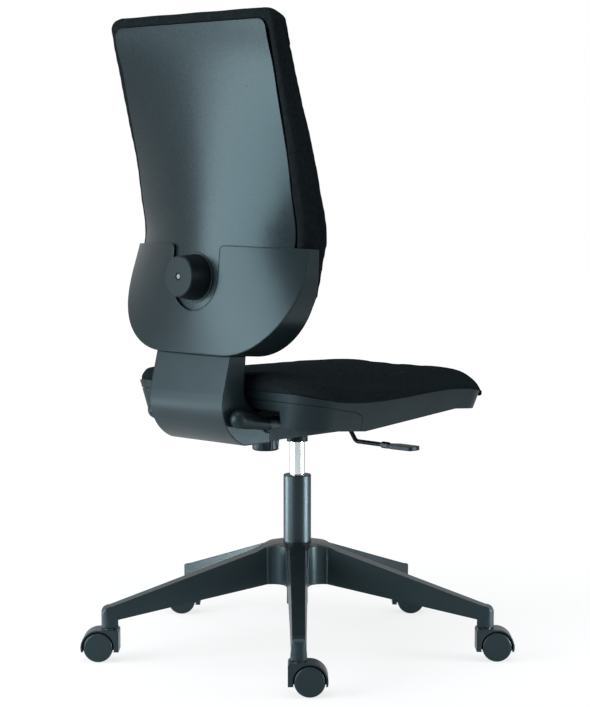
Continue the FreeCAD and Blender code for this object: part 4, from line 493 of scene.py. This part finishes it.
def round_the_nose(obj):
    """Rolls the front of the seat down a little, and its two corners more, down to the seam."""
    moved = []
    for vertex in obj.data.vertices:
        point = vertex.co.copy()
        forward = ease((NOSE_START - point.y) / NOSE_RUN)
        side = ease((abs(point.x) - NOSE_SIDE) / NOSE_SIDE_RUN)
        corner = ease((abs(point.x) - NOSE_CORNER) / NOSE_CORNER_RUN)
        above = ease((point.z - along_line(SEAT_SEAM, point.y)) / NOSE_HEIGHT)
        point.z -= forward * above * (NOSE_DROP * side + NOSE_CORNER_DROP * corner)
        moved.append(point)
    set_points(obj, moved)


def seat_cushion():
    pad = copy_of_node("seat_cushion", "seat_pad")
    voxels(pad, VOXEL)

    def held(point):
        over_rim = point.z - along_line(SEAT_SEAM, point.y)
        return 1.0 if over_rim < SEAT_HELD else max(0.0, 1.0 - (over_rim - SEAT_HELD) / SEAT_EASED)

    swell(pad, held, SEAT_SWELL)
    smooth_and_divide(pad)
    ripple(pad, SEAT_RIPPLE, SEAT_RIPPLE_LENGTH)
    round_the_nose(pad)
    pad.data.materials.append(FABRIC)
    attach(pad, "seat")
    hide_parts("seat_cushion")
    return pad


def back_cushion():
    pad = copy_of_node("back_cushion", "back_pad")
    voxels(pad, VOXEL)

    def held(point):
        behind = point.y > BACK_HELD_Y + BACK_HELD_SLOPE * (point.z - BACK_HELD_FROM_Z)
        return 1.0 if behind or point.z < BACK_HELD_BELOW else 0.0

    swell(pad, held, BACK_SWELL)
    smooth_and_divide(pad)
    ripple(pad, BACK_RIPPLE, BACK_RIPPLE_LENGTH)
    side_groove(pad, GROOVE_SHARE, GROOVE_WIDTH, GROOVE_DEPTH)
    for side in (-1.0, 1.0):
        for path, width, depth in CORNER_FOLDS:
            crease(pad, [(side * x, y, z) for x, y, z in path], width, depth)
    pad.data.materials.append(FABRIC)
    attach(pad, "backrest")
    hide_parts("back_cushion")
    return pad


seat_cushion()
back_cushion()


# Stage, light and camera

MIRRORED_SHARE = 0.44   # how much of the white surroundings a glossy surface shows
FLOOR_MIRRORED_SHARE = 0.28   # the same for the floor
FLOOR_RADIUS = 14.0
FLOOR_HEIGHT = -0.0006   # just under the wheels
FLOOR_FADE = (0.35, 1.3, 0.72, 0.98)   # from, to (metres from the middle), share of white at each


def floor():
    pick(nodes["star_base"])
    bpy.ops.mesh.primitive_circle_add(vertices=96, radius=FLOOR_RADIUS, fill_type="NGON",
                                      location=(0, 0, FLOOR_HEIGHT))
    plane = bpy.context.active_object
    plane.name = "floor"
    material = bpy.data.materials.new("floor")
    material.use_nodes = True
    tree = material.node_tree
    shader = tree.nodes["Principled BSDF"]
    shader.inputs["Base Color"].default_value = (0.82, 0.82, 0.82, 1.0)
    shader.inputs["Roughness"].default_value = 0.9
    shader.inputs["Specular IOR Level"].default_value = 0.1
    white = tree.nodes.new("ShaderNodeEmission")
    white.inputs["Color"].default_value = (1.0, 1.0, 1.0, 1.0)
    white.inputs["Strength"].default_value = 1.05
    mix = tree.nodes.new("ShaderNodeMixShader")
    coordinates = tree.nodes.new("ShaderNodeTexCoord")
    distance = tree.nodes.new("ShaderNodeVectorMath")
    distance.operation = "LENGTH"
    tree.links.new(coordinates.outputs["Object"], distance.inputs[0])
    fade = tree.nodes.new("ShaderNodeMapRange")
    for socket, value in zip(("From Min", "From Max", "To Min", "To Max"), FLOOR_FADE):
        fade.inputs[socket].default_value = value
    tree.links.new(distance.outputs["Value"], fade.inputs["Value"])
    share = tree.nodes.new("ShaderNodeMath")
    share.operation = "MULTIPLY"
    tree.links.new(seen_directly(tree, FLOOR_MIRRORED_SHARE), share.inputs[0])
    tree.links.new(fade.outputs["Result"], share.inputs[1])
    tree.links.new(share.outputs[0], mix.inputs["Fac"])
    tree.links.new(shader.outputs[0], mix.inputs[1])
    tree.links.new(white.outputs[0], mix.inputs[2])
    tree.links.new(mix.outputs[0], tree.nodes["Material Output"].inputs["Surface"])
    plane.data.materials.append(material)


def seen_directly(tree, mirrored_share):
    """1 for what the camera sees directly or through something clear, a share for what it sees mirrored."""
    path = tree.nodes.new("ShaderNodeLightPath")
    first = tree.nodes.new("ShaderNodeMath")
    first.operation = "MAXIMUM"
    tree.links.new(path.outputs["Is Camera Ray"], first.inputs[0])
    mirrored = tree.nodes.new("ShaderNodeMath")
    mirrored.operation = "MULTIPLY"
    mirrored.inputs[1].default_value = mirrored_share
    tree.links.new(path.outputs["Is Glossy Ray"], mirrored.inputs[0])
    tree.links.new(mirrored.outputs[0], first.inputs[1])
    second = tree.nodes.new("ShaderNodeMath")
    second.operation = "MAXIMUM"
    tree.links.new(first.outputs[0], second.inputs[0])
    tree.links.new(path.outputs["Is Transmission Ray"], second.inputs[1])
    return second.outputs[0]


def studio_world():
    world = bpy.data.worlds.new("studio")
    bpy.context.scene.world = world
    world.use_nodes = True
    tree = world.node_tree
    ambient = tree.nodes["Background"]
    ambient.inputs["Color"].default_value = (0.92, 0.97, 1.0, 1.0)
    ambient.inputs["Strength"].default_value = 0.40
    white = tree.nodes.new("ShaderNodeBackground")
    white.inputs["Color"].default_value = (1.0, 1.0, 1.0, 1.0)
    white.inputs["Strength"].default_value = 1.0
    mix = tree.nodes.new("ShaderNodeMixShader")
    tree.links.new(seen_directly(tree, MIRRORED_SHARE), mix.inputs["Fac"])
    tree.links.new(ambient.outputs[0], mix.inputs[1])
    tree.links.new(white.outputs[0], mix.inputs[2])
    tree.links.new(mix.outputs[0], tree.nodes["World Output"].inputs["Surface"])


def softbox(name, place, target, size, power, spread=180.0, colour=(0.90, 0.97, 1.0)):
    data = bpy.data.lights.new(name, "AREA")
    data.shape = "RECTANGLE"
    data.size = size[0]
    data.size_y = size[1]
    data.energy = power
    data.color = colour
    data.spread = math.radians(spread)
    lamp = bpy.data.objects.new(name, data)
    bpy.context.scene.collection.objects.link(lamp)
    lamp.visible_camera = False
    lamp.location = place
    lamp.rotation_euler = (Vector(target) - Vector(place)).to_track_quat("-Z", "Y").to_euler()


def camera():
    data = bpy.data.cameras.new("camera")
    data.sensor_width = SENSOR
    data.lens = FOCAL_LENGTH
    obj = bpy.data.objects.new("camera", data)
    bpy.context.scene.collection.objects.link(obj)
    obj.location = CAMERA_PLACE
    obj.rotation_euler = (math.radians(90.0 - CAMERA_PITCH), 0.0, math.radians(CAMERA_HEADING))
    bpy.context.scene.camera = obj


floor()
studio_world()
# A broad key behind the chair, a fill at its side, a top light, and two low strips beside the column
softbox("key", (0.605, 1.865, 0.77), (0.045, 0.185, 0.77), (1.43, 1.47), 50.0)
softbox("fill", (-3.2, -1.2, 1.0), (0.0, 0.0, 0.6), (1.5, 1.8), 16.0)
softbox("top", (0.0, 0.2, 3.3), (0.0, 0.0, 0.5), (2.4, 2.4), 46.0)
softbox("low_left", (0.98, 0.72, 0.15), (0.0, 0.0, 0.12), (0.6, 0.26), 1.0, 40.0)
softbox("low_right", (-1.02, -0.62, 0.15), (0.0, 0.0, 0.12), (0.6, 0.26), 1.4, 40.0)
camera()
bpy.context.scene.view_settings.view_transform = "Standard"
